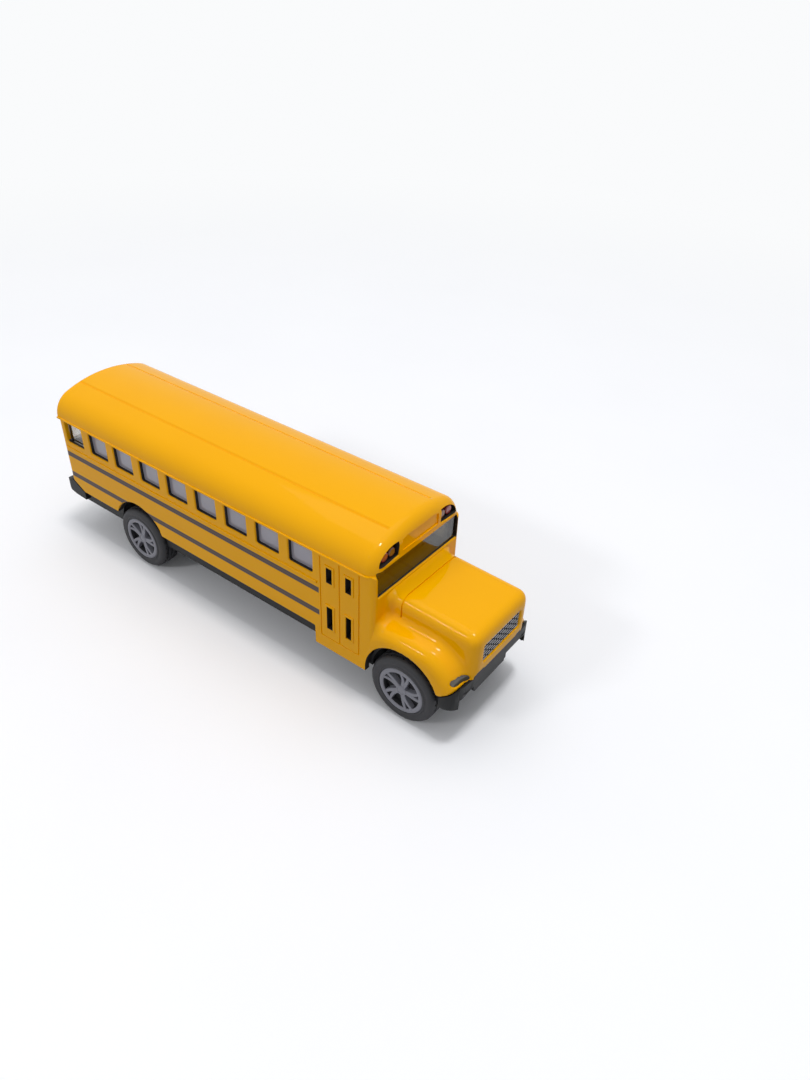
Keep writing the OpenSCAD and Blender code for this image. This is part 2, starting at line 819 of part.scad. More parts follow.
// Places a wheel piece, drawn about +Z with its outer face at z = 0, on an axle's end
module on_axle(x, side) {
    translate([x, side * wheel_out_y, axle_z]) rotate([-90 * side, 0, 0]) children();
}

// Rim with twisted pairs of spokes over a dark pocket
rim_ring_share = 0.84;
rim_hub_share = 0.26;
rim_dish = 0.35;
pocket_depth = 1.5;
spoke_w = 0.75;
spoke_splay = 13;
module rim(turn) {
    ring_r = rim_r * rim_ring_share;
    hub = rim_r * rim_hub_share;
    bore = tyre_w * 2 / 3;
    color("#6e6e76") difference() {
        union() {
            difference() {
                translate([0, 0, -tyre_w]) cylinder(r = rim_r - press_gap, h = tyre_w, $fn = 96);
                translate([0, 0, -pocket_depth]) cylinder(r = ring_r, h = pocket_depth + cut, $fn = 96);
            }
            translate([0, 0, -pocket_depth - seat_gap])
                cylinder(r = hub, h = pocket_depth - rim_dish, $fn = 48);
            for (i = [0 : spoke_pairs - 1], k = [-1, 1])
                rotate([0, 0, 360 * i / spoke_pairs + turn * k * spoke_splay])
                    translate([0, turn * k * spoke_w / 2, 0])
                        block([hub / 2, -spoke_w / 2, -pocket_depth - seat_gap],
                            [ring_r + seat_gap, spoke_w / 2, -rim_dish]);
        }
        translate([0, 0, -tyre_w - cut]) cylinder(r = axle_r + press_gap, h = bore + cut, $fn = 48);
    }
}

// Tyre with rounded shoulders and tread grooves
tyre_shoulder = 1.3;
tread_w = 0.5;
tread_depth = 0.35;
tread_shares = [0.3, 0.5, 0.7];
module tyre() {
    out = tyre_r;
    color("#202022") difference() {
        rotate_extrude($fn = 128) polygon(concat(
            [[rim_r, -tyre_w], [rim_r, 0]],
            arc([out - tyre_shoulder, -tyre_shoulder], tyre_shoulder, 90, 0, 6),
            arc([out - tyre_shoulder, tyre_shoulder - tyre_w], tyre_shoulder, 0, -90, 6)
        ));
        for (share = tread_shares) translate([0, 0, -tyre_w * share - tread_w / 2]) difference() {
            cylinder(r = out + cut, h = tread_w, $fn = 128);
            translate([0, 0, -cut]) cylinder(r = out - tread_depth, h = tread_w + 2 * cut, $fn = 128);
        }
    }
}

module front_left_rim() {
    on_axle(front_axle_x, 1) rim(1);
}

module front_right_rim() {
    on_axle(front_axle_x, -1) rim(-1);
}

module rear_left_rim() {
    on_axle(rear_axle_x, 1) rim(1);
}

module rear_right_rim() {
    on_axle(rear_axle_x, -1) rim(-1);
}

module front_left_tyre() {
    on_axle(front_axle_x, 1) tyre();
}

module front_right_tyre() {
    on_axle(front_axle_x, -1) tyre();
}

module rear_left_tyre() {
    on_axle(rear_axle_x, 1) tyre();
}

module rear_right_tyre() {
    on_axle(rear_axle_x, -1) tyre();
}

// Half of the motor case on the +Y side
module motor_half_shell() {
    out_x = motor_wall;
    difference() {
        union() {
            block([case_rear_x - out_x, seat_gap / 2, case_low_z - out_x],
                [case_front_x + out_x, motor_half, case_high_z + out_x]);
            block([case_rear_x - out_x - flange, seat_gap / 2, base_z + base_t + seat_gap],
                [case_front_x + out_x + flange, motor_half, base_z + base_t + seat_gap + motor_wall]);
        }
        block([case_rear_x, -cut, case_low_z], [case_front_x, motor_half - motor_wall, case_high_z]);
        bar_y(rear_axle_x, axle_z, axle_r + bearing_gap, 0, side_y);
        for (p = [[idler_x, idler_z], [spring_x, spring_z]])
            bar_y(p[0], p[1], gear_pin_r + press_gap, 0, side_y);
    }
}

module motor_case_left() {
    color("#2b2f36") motor_half_shell();
}

module motor_case_right() {
    color("#2b2f36") mirror([0, 1, 0]) motor_half_shell();
}

module gear_pins() {
    reach = motor_half - seat_gap;
    color("#9a9ca0") {
        bar_y(idler_x, idler_z, gear_pin_r, -reach, reach);
        bar_y(spring_x, spring_z, gear_pin_r, -reach, reach);
    }
}

// Toothed disc about Y, with a tooth pointing at the given angle from +X towards +Z
module toothed(x, z, y, teeth, turn) {
    translate([x, 0, z]) along_y(y - gear_w / 2, y + gear_w / 2) rotate([0, 0, turn])
        polygon(gear_outline(teeth));
}

module axle_gear() {
    color("#d8d4c8") difference() {
        toothed(rear_axle_x, axle_z, drive_y, pinion_teeth, train_lift);
        bar_y(rear_axle_x, axle_z, axle_r + press_gap, -side_y, side_y);
    }
}

// Large gear driven by the axle, with a pinion beside it
module idler_gear() {
    half_tooth = 180 / wheel_teeth;
    color("#d8d4c8") difference() {
        union() {
            toothed(idler_x, idler_z, drive_y, wheel_teeth, train_lift + 180 + half_tooth);
            toothed(idler_x, idler_z, second_y, pinion_teeth, 0);
            bar_y(idler_x, idler_z, hub_r, second_y, drive_y);
        }
        bar_y(idler_x, idler_z, gear_pin_r + bearing_gap, -side_y, side_y);
    }
}

module spring_gear() {
    half_tooth = 180 / wheel_teeth;
    color("#d8d4c8") difference() {
        union() {
            toothed(spring_x, spring_z, second_y, wheel_teeth, 180 + half_tooth);
            bar_y(spring_x, spring_z, hub_r, second_y, motor_half - motor_wall - turn_gap);
        }
        bar_y(spring_x, spring_z, gear_pin_r + bearing_gap, -side_y, side_y);
    }
}

// Spiral strip whose outer end is anchored on the case
module mainspring() {
    steps = 24 * spring_turns;
    r0 = hub_r + turn_gap;
    r1 = wheel_r;
    radius = function (i) r0 + (r1 - r0) * i / steps;
    point = function (i, r) [r * cos(360 * i / 24), r * sin(360 * i / 24)];
    y0 = drive_y + gear_w / 2 + turn_gap;
    color("#6d7178") translate([spring_x, 0, spring_z]) {
        along_y(y0, motor_half - motor_wall - turn_gap) polygon(concat(
            [for (i = [0 : steps]) point(i, radius(i))],
            [for (i = [steps : -1 : 0]) point(i, radius(i) + spring_t)]
        ));
        block([r1, y0, 0], [case_in_r, motor_half - motor_wall - turn_gap, spring_t]);
    }
}

body_shell();
glazing_insert();
grille_insert();
headlamp_lenses();
red_warning_lamps();
amber_warning_lamps();
tail_lamps();
chassis_base();
chassis_screws();
front_axle();
rear_axle();
front_left_rim();
front_right_rim();
rear_left_rim();
rear_right_rim();
front_left_tyre();
front_right_tyre();
rear_left_tyre();
rear_right_tyre();
motor_case_left();
motor_case_right();
gear_pins();
axle_gear();
idler_gear();
spring_gear();
mainspring();
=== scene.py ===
"""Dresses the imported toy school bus: painted casting, glazing, lamps, grille, base, wheels and motor.

The classes hold their sizes in millimetres, and the finished meshes are in metres.
+X is the front, +Y the left side and +Z is up, as in the CAD.
"""

import logging
import math
from collections.abc import Callable, Iterable
from dataclasses import dataclass, field
from enum import Enum

import bmesh
import bpy
from bmesh.types import BMEdge, BMesh, BMFace, BMVert
from bpy.types import Material, Node, NodeSocket, NodeTree, Object, World
from mathutils import Matrix, Vector


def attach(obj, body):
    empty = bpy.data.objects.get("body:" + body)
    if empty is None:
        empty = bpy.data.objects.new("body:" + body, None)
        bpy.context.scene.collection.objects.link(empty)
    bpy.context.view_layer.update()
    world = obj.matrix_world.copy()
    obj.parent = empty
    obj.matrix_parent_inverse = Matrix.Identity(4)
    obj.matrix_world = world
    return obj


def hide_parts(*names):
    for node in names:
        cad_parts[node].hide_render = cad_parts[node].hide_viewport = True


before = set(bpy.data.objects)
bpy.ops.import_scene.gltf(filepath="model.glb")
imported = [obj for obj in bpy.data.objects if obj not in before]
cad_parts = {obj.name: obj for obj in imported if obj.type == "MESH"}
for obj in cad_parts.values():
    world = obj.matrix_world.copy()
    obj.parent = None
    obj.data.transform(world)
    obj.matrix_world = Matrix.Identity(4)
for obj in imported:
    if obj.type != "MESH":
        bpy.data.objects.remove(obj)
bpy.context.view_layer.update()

MM = 0.001
# Points closer than NEAR count as level, and closer than MERGE as one
NEAR = 0.01
MERGE = NEAR / 5
# How far a fine groove's tool stands out of the face that it cuts, and how far any other tool does
PROUD = NEAR * 5
OVER = 1.0
# Tools that cut right through the bus reach this far forward, and this far out or up
BEYOND_X = 70.0
BEYOND = 20.0
# Edges bent by more than SHARP degrees can be rounded, and faces within SAME_PLANE degrees are one
SHARP = 50.0
SAME_PLANE = 1.0
# A face looks along an axis when its normal's share of that axis is larger than this
FACING = 0.5
Point = tuple[float, float, float]
Flat = tuple[float, float]
log = logging.getLogger("toy_bus")


class Cut(Enum):
    """What a Boolean does with its tool."""

    JOIN = "UNION"
    REMOVE = "DIFFERENCE"
    KEEP = "INTERSECT"


class Way(Enum):
    """The axis along which a flat outline is drawn out."""

    X = 0
    Y = 1
    Z = 2

    def place(self, flat: Flat, along: float) -> Vector:
        """Returns the point of a flat outline at a distance along the axis."""
        rest = list(flat)
        rest.insert(self.value, along)
        return Vector(rest)


class Side(Enum):
    """The two sides of the bus, with the sign of Y on each."""

    LEFT = 1
    RIGHT = -1


# Mesh tools

def block(low: Point, high: Point) -> BMesh:
    """Makes a block between its lowest and its highest corner."""
    bm = bmesh.new()
    size = Vector(high) - Vector(low)
    middle = (Vector(high) + Vector(low)) / 2
    bmesh.ops.create_cube(bm, size=1, matrix=Matrix.Translation(middle) @ Matrix.Diagonal((*size, 1)))
    return bm


def rectangle(a0: float, a1: float, b0: float, b1: float) -> list[Flat]:
    """Gives a rectangle's corners from its first and second ranges, lower side first."""
    return [(a0, b0), (a1, b0), (a1, b1), (a0, b1)]


def draw_out(bm: BMesh, way: Way, distance: float) -> None:
    """Extrudes every face of a flat bmesh along an axis into a closed solid.

    Args:
        bm: The flat bmesh.
        way: The axis.
        distance: The length of the solid.
    """
    made = bmesh.ops.extrude_face_region(bm, geom=bm.faces[:])["geom"]
    verts = [item for item in made if isinstance(item, BMVert)]
    bmesh.ops.translate(bm, verts=verts, vec=way.place((0, 0), distance))
    bmesh.ops.recalc_face_normals(bm, faces=bm.faces[:])


def prism(corners: list[Flat], way: Way, start: float, end: float, radius: float = 0,
          rounded: Iterable[int] | None = None, segments: int = 6) -> BMesh:
    """Draws out an outline, with some of its corners rounded.

    Args:
        corners: The outline across the axis.
        way: The axis.
        start: Where the solid starts along the axis.
        end: Where it ends.
        radius: Radius of the rounded corners.
        rounded: Which corners are rounded, or None for all.
        segments: Segments in each rounded corner.

    Returns:
        The solid as a new bmesh.
    """
    bm = bmesh.new()
    verts = [bm.verts.new(way.place(corner, start)) for corner in corners]
    bm.faces.new(verts)
    if radius:
        picked = verts if rounded is None else [verts[i] for i in rounded]
        bmesh.ops.bevel(bm, geom=picked, offset=radius, segments=segments, profile=0.5,
                        affect="VERTICES", material=-1)
    draw_out(bm, way, end - start)
    return bm


def rod(way: Way, centre: Flat, radius: float, start: float, end: float, segments: int = 64) -> BMesh:
    """Makes a round bar.

    Args:
        way: The bar's axis.
        centre: Its middle across the axis.
        radius: Its radius.
        start: Where it starts along the axis.
        end: Where it ends.
        segments: Segments round it.

    Returns:
        The bar as a new bmesh.
    """
    bm = bmesh.new()
    turn = {Way.X: Matrix.Rotation(math.pi / 2, 4, "Y"), Way.Y: Matrix.Rotation(math.pi / 2, 4, "X"),
            Way.Z: Matrix.Identity(4)}[way]
    bmesh.ops.create_circle(bm, cap_ends=True, radius=radius, segments=segments,
                            matrix=Matrix.Translation(way.place(centre, start)) @ turn)
    draw_out(bm, way, end - start)
    return bm


def span(edge: BMEdge, way: Way) -> float:
    """Measures an edge along an axis."""
    return abs(edge.verts[0].co[way.value] - edge.verts[1].co[way.value])


def edges_where(bm: BMesh, test: Callable[[Vector], bool], sharp: float = 0) -> list[BMEdge]:
    """Finds the edges whose ends both pass a test, and whose faces meet at more than an angle in degrees."""
    return [e for e in bm.edges if all(test(v.co) for v in e.verts)
            and (not sharp or (len(e.link_faces) == 2 and e.calc_face_angle() > math.radians(sharp)))]


def soften(bm: BMesh, edges: list[BMEdge], radius: float, segments: int = 3) -> None:
    """Rounds edges to a radius, with a number of segments across the rounding."""
    bmesh.ops.bevel(bm, geom=edges, offset=radius, segments=segments, profile=0.5, affect="EDGES",
                    material=-1, clamp_overlap=False)


def step_in(bm: BMesh, face: BMFace, steps: Iterable[Flat]) -> None:
    """Insets a face several times, each time by a thickness and a depth."""
    for thickness, depth in steps:
        bmesh.ops.inset_region(bm, faces=[face], thickness=thickness, depth=depth)


def gather(*parts: BMesh) -> BMesh:
    """Puts several bmeshes side by side into one.

    Args:
        parts: The bmeshes; all but the first are freed.

    Returns:
        The first one, with the others in it.
    """
    for part in parts[1:]:
        mesh = bpy.data.meshes.new("part")
        part.to_mesh(mesh)
        part.free()
        parts[0].from_mesh(mesh)
        bpy.data.meshes.remove(mesh)
    return parts[0]


def mirrored(bm: BMesh) -> BMesh:
    """Adds the copy on the other side of the bus, with its faces pointing outwards."""
    bmesh.ops.mirror(bm, geom=bm.verts[:] + bm.edges[:] + bm.faces[:], axis="Y", merge_dist=-1)
    bmesh.ops.recalc_face_normals(bm, faces=bm.faces[:])
    return bm


def plain_object(name: str, bm: BMesh) -> Object:
    """Puts a bmesh into the scene as an object.

    Args:
        name: The object's name.
        bm: The bmesh; it is freed.

    Returns:
        The object.
    """
    mesh = bpy.data.meshes.new(name)
    bm.to_mesh(mesh)
    bm.free()
    thing = bpy.data.objects.new(name, mesh)
    bpy.context.scene.collection.objects.link(thing)
    return thing


def drop(thing: Object) -> None:
    """Deletes an object and its mesh."""
    mesh = thing.data
    bpy.data.objects.remove(thing)
    bpy.data.meshes.remove(mesh)


def evaluated(thing: Object) -> BMesh:
    """Applies an object's modifiers.

    Args:
        thing: The object; it is deleted.

    Returns:
        The result as a new bmesh.
    """
    graph = bpy.context.evaluated_depsgraph_get()
    mesh = bpy.data.meshes.new_from_object(thing.evaluated_get(graph))
    bm = bmesh.new()
    bm.from_mesh(mesh)
    drop(thing)
    bpy.data.meshes.remove(mesh)
    return bm


def combine(base: BMesh, how: Cut, *tools: BMesh) -> BMesh:
    """Joins, cuts or intersects a solid with others, one after the other.

    Args:
        base: The solid that is kept; it is freed.
        how: What is done.
        tools: The solids that work on it; they are freed.

    Returns:
        The result as a new bmesh.
    """
    for tool in tools:
        other = plain_object("tool", tool)
        thing = plain_object("base", base)
        step = thing.modifiers.new("step", "BOOLEAN")
        step.operation, step.solver, step.object = how.value, "MANIFOLD", other
        base = evaluated(thing)
        drop(other)
    return base


def revoxel(bm: BMesh, voxel: float) -> BMesh:
    """Makes one even skin, with faces of a given size, over all that a bmesh encloses, and frees it."""
    thing = plain_object("skin", bm)
    step = thing.modifiers.new("skin", "REMESH")
    step.mode, step.voxel_size = "VOXEL", voxel
    return evaluated(thing)


def relax(bm: BMesh, rounds: int) -> None:
    """Smooths a dense skin by a number of rounds."""
    for _ in range(rounds):
        bmesh.ops.smooth_vert(bm, verts=bm.verts[:], factor=0.5, use_axis_x=True, use_axis_y=True,
                              use_axis_z=True)


def swell(bm: BMesh, distance: float) -> None:
    """Moves a skin along its normals."""
    bm.normal_update()
    for vert, move in [(v, v.normal * distance) for v in bm.verts]:
        vert.co += move


def merge_flat(bm: BMesh) -> None:
    """Makes one face of faces that lie in one plane."""
    bmesh.ops.dissolve_limit(bm, angle_limit=math.radians(SAME_PLANE), verts=bm.verts[:], edges=bm.edges[:])


def copy_of(node: str) -> BMesh:
    """Copies a CAD node's mesh.

    Args:
        node: The node's name.

    Returns:
        The copy, merged and in millimetres.
    """
    bm = bmesh.new()
    bm.from_mesh(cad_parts[node].data)
    bmesh.ops.scale(bm, verts=bm.verts[:], vec=Vector((1, 1, 1)) / MM)
    bmesh.ops.remove_doubles(bm, verts=bm.verts[:], dist=MERGE)
    merge_flat(bm)
    return bm


# Colours and nodes

def srgb(code: str) -> tuple[float, float, float, float]:
    """Turns an sRGB hex colour into linear red, green, blue and alpha."""
    parts = [int(code[i:i + 2], 16) / 255 for i in (1, 3, 5)]
    line = [c / 12.92 if c <= 0.04045 else ((c + 0.055) / 1.055) ** 2.4 for c in parts]
    return (*line, 1.0)


def put(tree: NodeTree, kind: str, settings: dict | None = None, links: dict | None = None) -> Node:
    """Adds a node with its settings and links.

    Args:
        tree: The node tree.
        kind: The node's type.
        settings: Values for its properties, or for its input sockets by name or number.
        links: Output sockets that feed its inputs, by name or number.

    Returns:
        The node.
    """
    node = tree.nodes.new(kind)
    for key, value in (settings or {}).items():
        if isinstance(key, str) and hasattr(node, key):
            setattr(node, key, value)
        else:
            node.inputs[key].default_value = value
    for key, socket in (links or {}).items():
        tree.links.new(socket, node.inputs[key])
    return node


def fresh(owner: Material | World) -> NodeTree:
    """Empties the node tree of a new material or world and returns it."""
    owner.use_nodes = True
    owner.node_tree.nodes.clear()
    return owner.node_tree


def reckon(tree: NodeTree, operation: str, *values: float | NodeSocket) -> NodeSocket:
    """Adds a Math node.

    Args:
        tree: The node tree.
        operation: What it works out.
        values: Its inputs, each a number or an output socket.

    Returns:
        Its output socket.
    """
    numbers = {i: value for i, value in enumerate(values) if isinstance(value, float)}
    links = {i: value for i, value in enumerate(values) if i not in numbers}
    return put(tree, "ShaderNodeMath", {"operation": operation, **numbers}, links).outputs[0]


def ramp(tree: NodeTree, value: NodeSocket, source: Flat = (0.0, 1.0), target: Flat = (0.0, 1.0),
         curve: str = "LINEAR") -> NodeSocket:
    """Maps a value from a source range to a target range, along a curve."""
    settings = {"interpolation_type": curve, "From Min": source[0], "From Max": source[1],
                "To Min": target[0], "To Max": target[1]}
    return put(tree, "ShaderNodeMapRange", settings, {"Value": value}).outputs["Result"]


def noise(tree: NodeTree, place: NodeSocket, size_mm: float, detail: float) -> NodeSocket:
    """Adds a noise pattern of a real size on Object coordinates."""
    settings = {"Scale": 1 / (size_mm * MM), "Detail": detail}
    return put(tree, "ShaderNodeTexNoise", settings, {"Vector": place}).outputs["Fac"]


def bump(tree: NodeTree, height: NodeSocket, strength: float, depth_mm: float) -> NodeSocket:
    """Turns a pattern into a relief of a real depth."""
    settings = {"Strength": strength, "Distance": depth_mm * MM}
    return put(tree, "ShaderNodeBump", settings, {"Height": height}).outputs["Normal"]


def blend(tree: NodeTree, share: NodeSocket, first: str | NodeSocket, second: str | NodeSocket) -> NodeSocket:
    """Mixes two colours.

    Args:
        tree: The node tree.
        share: How much of the second colour is in the mix.
        first: The first colour, as a hex code or an output socket.
        second: The second colour, likewise.

    Returns:
        The mixed colour's output socket.
    """
    settings, links = {"data_type": "RGBA"}, {0: share}
    for key, tone in ((6, first), (7, second)):
        if isinstance(tone, str):
            settings[key] = srgb(tone)
        else:
            links[key] = tone
    return put(tree, "ShaderNodeMix", settings, links).outputs[2]


@dataclass(frozen=True)
class Surface:
    """What all finishes share: a common name, a main tone, and one shader that is made once."""

    name: str
    tone: str

    def skin(self, tree: NodeTree, place: NodeSocket) -> tuple[dict, dict]:
        """Builds the finish's own nodes and gives the shader's settings and links."""
        raise NotImplementedError

    def make(self) -> Material:
        """Builds the material, or finds it if it is there already.

        Returns:
            The material.
        """
        known = bpy.data.materials.get(self.name)
        if known:
            return known
        material = bpy.data.materials.new(self.name)
        tree = fresh(material)
        place = put(tree, "ShaderNodeTexCoord").outputs["Object"]
        shader = put(tree, "ShaderNodeBsdfPrincipled", *self.skin(tree, place))
        put(tree, "ShaderNodeOutputMaterial", links={"Surface": shader.outputs["BSDF"]})
        return material


@dataclass(frozen=True)
class Finish(Surface):
    """A moulded or painted surface: two close tones, a gloss that varies, and a fine relief.

    The shade is the colour of its faint mottling, the grain is the relief's, the coat is a clear one
    on top, and the glint tints what it mirrors head-on.
    """

    shade: str
    rough: float
    rough_swing: float = 0.06
    grain_mm: float = 0.6
    relief: float = 0.15
    relief_mm: float = 0.02
    mottle_mm: float = 9.0
    metal: float = 0.0
    coat: float = 0.0
    coat_rough: float = 0.04
    ior: float = 1.5
    glint: str = "#ffffff"

    def colour(self, tree: NodeTree, place: NodeSocket) -> NodeSocket:
        """Mottles the colour."""
        return blend(tree, noise(tree, place, self.mottle_mm, 3.0), self.tone, self.shade)

    def skin(self, tree: NodeTree, place: NodeSocket) -> tuple[dict, dict]:
        """Builds colour, gloss and relief.

        Args:
            tree: The material's tree.
            place: Object coordinates.

        Returns:
            The shader's settings and its links.
        """
        relief = bump(tree, noise(tree, place, self.grain_mm, 2.0), self.relief, self.relief_mm)
        patches = noise(tree, place, self.mottle_mm / 2, 4.0)
        rough = ramp(tree, patches, target=(self.rough - self.rough_swing, self.rough + self.rough_swing))
        settings = {"Metallic": self.metal, "IOR": self.ior, "Coat Weight": self.coat,
                    "Coat Roughness": self.coat_rough, "Specular Tint": srgb(self.glint)}
        return settings, {"Base Color": self.colour(tree, place), "Roughness": rough, "Normal": relief}


@dataclass(frozen=True)
class StripedPaint(Finish):
    """Gloss enamel sprayed on the casting, with two printed stripes along each side.

    The stripes lie further out than stripe_y, have their middles at stripe_z, and end at the door. The
    edge is the softness of the print.
    """

    ink: str = "#61554f"
    stripe_z: tuple[float, float] = (24.6, 18.3)
    stripe_w: float = 1.5
    stripe_y: float = 15.24
    stripe_end_x: float = 28.2
    edge: float = 0.08

    def colour(self, tree: NodeTree, place: NodeSocket) -> NodeSocket:
        """Lays the stripes over the mottled paint.

        Args:
            tree: The material's tree.
            place: Object coordinates.

        Returns:
            The colour's output socket.
        """
        paint = super().colour(tree, place)
        axes = put(tree, "ShaderNodeSeparateXYZ", links={0: place}).outputs
        outside = reckon(tree, "GREATER_THAN", reckon(tree, "ABSOLUTE", axes["Y"]), self.stripe_y * MM)
        behind = reckon(tree, "LESS_THAN", axes["X"], self.stripe_end_x * MM)
        fade = ((self.stripe_w / 2 + self.edge) * MM, (self.stripe_w / 2 - self.edge) * MM)
        bands = []
        for height in self.stripe_z:
            off = reckon(tree, "ABSOLUTE", reckon(tree, "SUBTRACT", axes["Z"], height * MM))
            bands.append(ramp(tree, off, fade))
        where = reckon(tree, "MULTIPLY", outside, behind)
        return blend(tree, reckon(tree, "MULTIPLY", reckon(tree, "MAXIMUM", *bands), where), paint, self.ink)


@dataclass(frozen=True)
class Lens(Finish):
    """A small moulded lens: strong colour under a clear, glossy face."""

    rough: float = 0.18
    grain_mm: float = 0.5
    relief: float = 0.08
    mottle_mm: float = 2.0
    coat: float = 0.5


@dataclass(frozen=True)
class ClearFinish(Surface):
    """Clear moulded polystyrene: a share of the light passes, over a faint ripple left by the mould."""

    rough: float = 0.03
    clear: float = 1.0
    ior: float = 1.59
    ripple_mm: float = 6.0
    ripple: float = 0.05
    ripple_h_mm: float = 0.05

    def skin(self, tree: NodeTree, place: NodeSocket) -> tuple[dict, dict]:
        """Builds the tint and the ripple.

        Args:
            tree: The material's tree.
            place: Object coordinates.

        Returns:
            The shader's settings and its links.
        """
        ripple = bump(tree, noise(tree, place, self.ripple_mm, 1.0), self.ripple, self.ripple_h_mm)
        settings = {"Base Color": srgb(self.tone), "Roughness": self.rough, "IOR": self.ior,
                    "Transmission Weight": self.clear}
        return settings, {"Normal": ripple}


# Gloss enamel on zinc: saturated yellow with small bright highlights and a faint orange peel
# Its index is low and its glint yellow, so that the white room doesn't wash the colour out
PAINT = StripedPaint("yellow enamel on zinc casting", "#f6b100", "#f1aa00", 0.06, rough_swing=0.02,
                     grain_mm=0.9, relief=0.03, mottle_mm=22, coat=0.22, ior=1.08, glint="#ffb000")
# Inside of the casting and window reveals: near-black painted shade, so that the openings read as deep
PAINTED_SHADE_INSIDE = Finish("painted shade inside the casting", "#15110e", "#1d1814", 0.55, grain_mm=0.5, relief=0.25)
# Clear polystyrene, lightly smoked: the windshield shows the dark inside through it
GLAZING = ClearFinish("smoked clear polystyrene", "#8f8874")
# The same moulding on the sides, half clear and half pale lavender-grey: a painted reflection of the bright
# floor
PAINTED_REFLECTION_GLAZING = ClearFinish("side panes with painted reflection", "#cbc8d6", rough=0.06, clear=0.5)
# The same at the rear corner, thin and clean, so that the white room shows through two panes
CLEAN_GLAZING = ClearFinish("clean clear polystyrene", "#f6f6f9")
# Injection-moulded black ABS with a fine spark texture: near black, with a soft sheen
BLACK_ABS = Finish("black moulded ABS", "#101112", "#151617", 0.48, grain_mm=0.35, relief=0.2, ior=1.32)
# Soft black PVC, dull with handling, a little greyer than the base
TYRE_PVC = Finish("black soft PVC", "#232326", "#2b2b2f", 0.62, grain_mm=0.3, relief=0.25, mottle_mm=5)
# Grey moulded styrene with a satin sheen along the spokes
RIM_STYRENE = Finish("grey moulded styrene", "#85858e", "#7a7a83", 0.36, grain_mm=0.4, relief=0.1,
                     mottle_mm=4)
# Near-black painted shade on the floor and wall of the pockets behind the spokes, so that they stand out
RIM_SHADOW = Finish("painted shade in the rim pockets", "#121215", "#19191d", 0.6, grain_mm=0.3)
# Silver foil stamped on the grille's bars: a pale, half-metallic shine
SILVER_PRINT = Finish("silver hot-stamped bars", "#a6a7ab", "#97999d", 0.34, grain_mm=0.3, relief=0.12,
                      mottle_mm=2, metal=0.5)
# Headlamp lenses: brown-grey under a clear gloss
GREY_LENS = Lens("grey moulded lens", "#5d574a", "#504b40", 0.2)
# Warning and tail lamps: deep red and dark amber under a clear gloss
RED_LENS = Lens("red moulded lens", "#a3222b", "#841a22")
AMBER_LENS = Lens("dark amber moulded lens", "#7c3d1a", "#642f15")
# Drawn steel of axles, screws and pins: bright, with a fine grain
STEEL = Finish("bright drawn steel", "#a9abb0", "#989ba1", 0.3, grain_mm=0.25, relief=0.1, mottle_mm=3,
               metal=1.0)
# Blued spring strip: a darker, bluish metal
SPRING_STEEL = Finish("blued spring steel", "#5f646c", "#4d535c", 0.35, grain_mm=0.3, metal=1.0)
# Motor case: dark blue-grey ABS, a shade lighter than the base
MOTOR_ABS = Finish("dark moulded motor case", "#2b2f36", "#343941", 0.45, grain_mm=0.4, relief=0.2)
# Undyed acetal of the gears: milky white and waxy
GEAR_ACETAL = Finish("natural moulded acetal", "#d8d4c8", "#cdc8ba", 0.4, grain_mm=0.5, relief=0.12)


def finish_piece(name: str, bm: BMesh, body: str, finishes: list[Surface], nodes: list[str],
                 pick: Callable[[BMFace], int] | None = None, crease: float = 40,
                 even: bool = True) -> Object:
    """Turns a solid in millimetres into a finished piece that rides on a body.

    Args:
        name: The piece's name.
        bm: The solid; it is freed.
        body: The CAD body that it rides on.
        finishes: Its finishes, in order.
        nodes: CAD nodes that it stands for.
        pick: Says of a face which finish it has.
        crease: Angle above which an edge shows as sharp, in degrees.
        even: Whether large faces keep flat normals beside their rounded edges.

    Returns:
        The piece.
    """
    for face in bm.faces:
        face.smooth = True
        if pick:
            face.material_index = pick(face)
    bmesh.ops.scale(bm, verts=bm.verts[:], vec=Vector((MM, MM, MM)))
    piece = plain_object(name, bm)
    piece.data.set_sharp_from_angle(angle=math.radians(crease))
    for item in finishes:
        piece.data.materials.append(item.make())
    if even:
        step = piece.modifiers.new("even normals", "WEIGHTED_NORMAL")
        step.keep_sharp = True
    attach(piece, body)
    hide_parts(*nodes)
    log.info("%s: %d faces on %s", name, len(piece.data.polygons), body)
    return piece


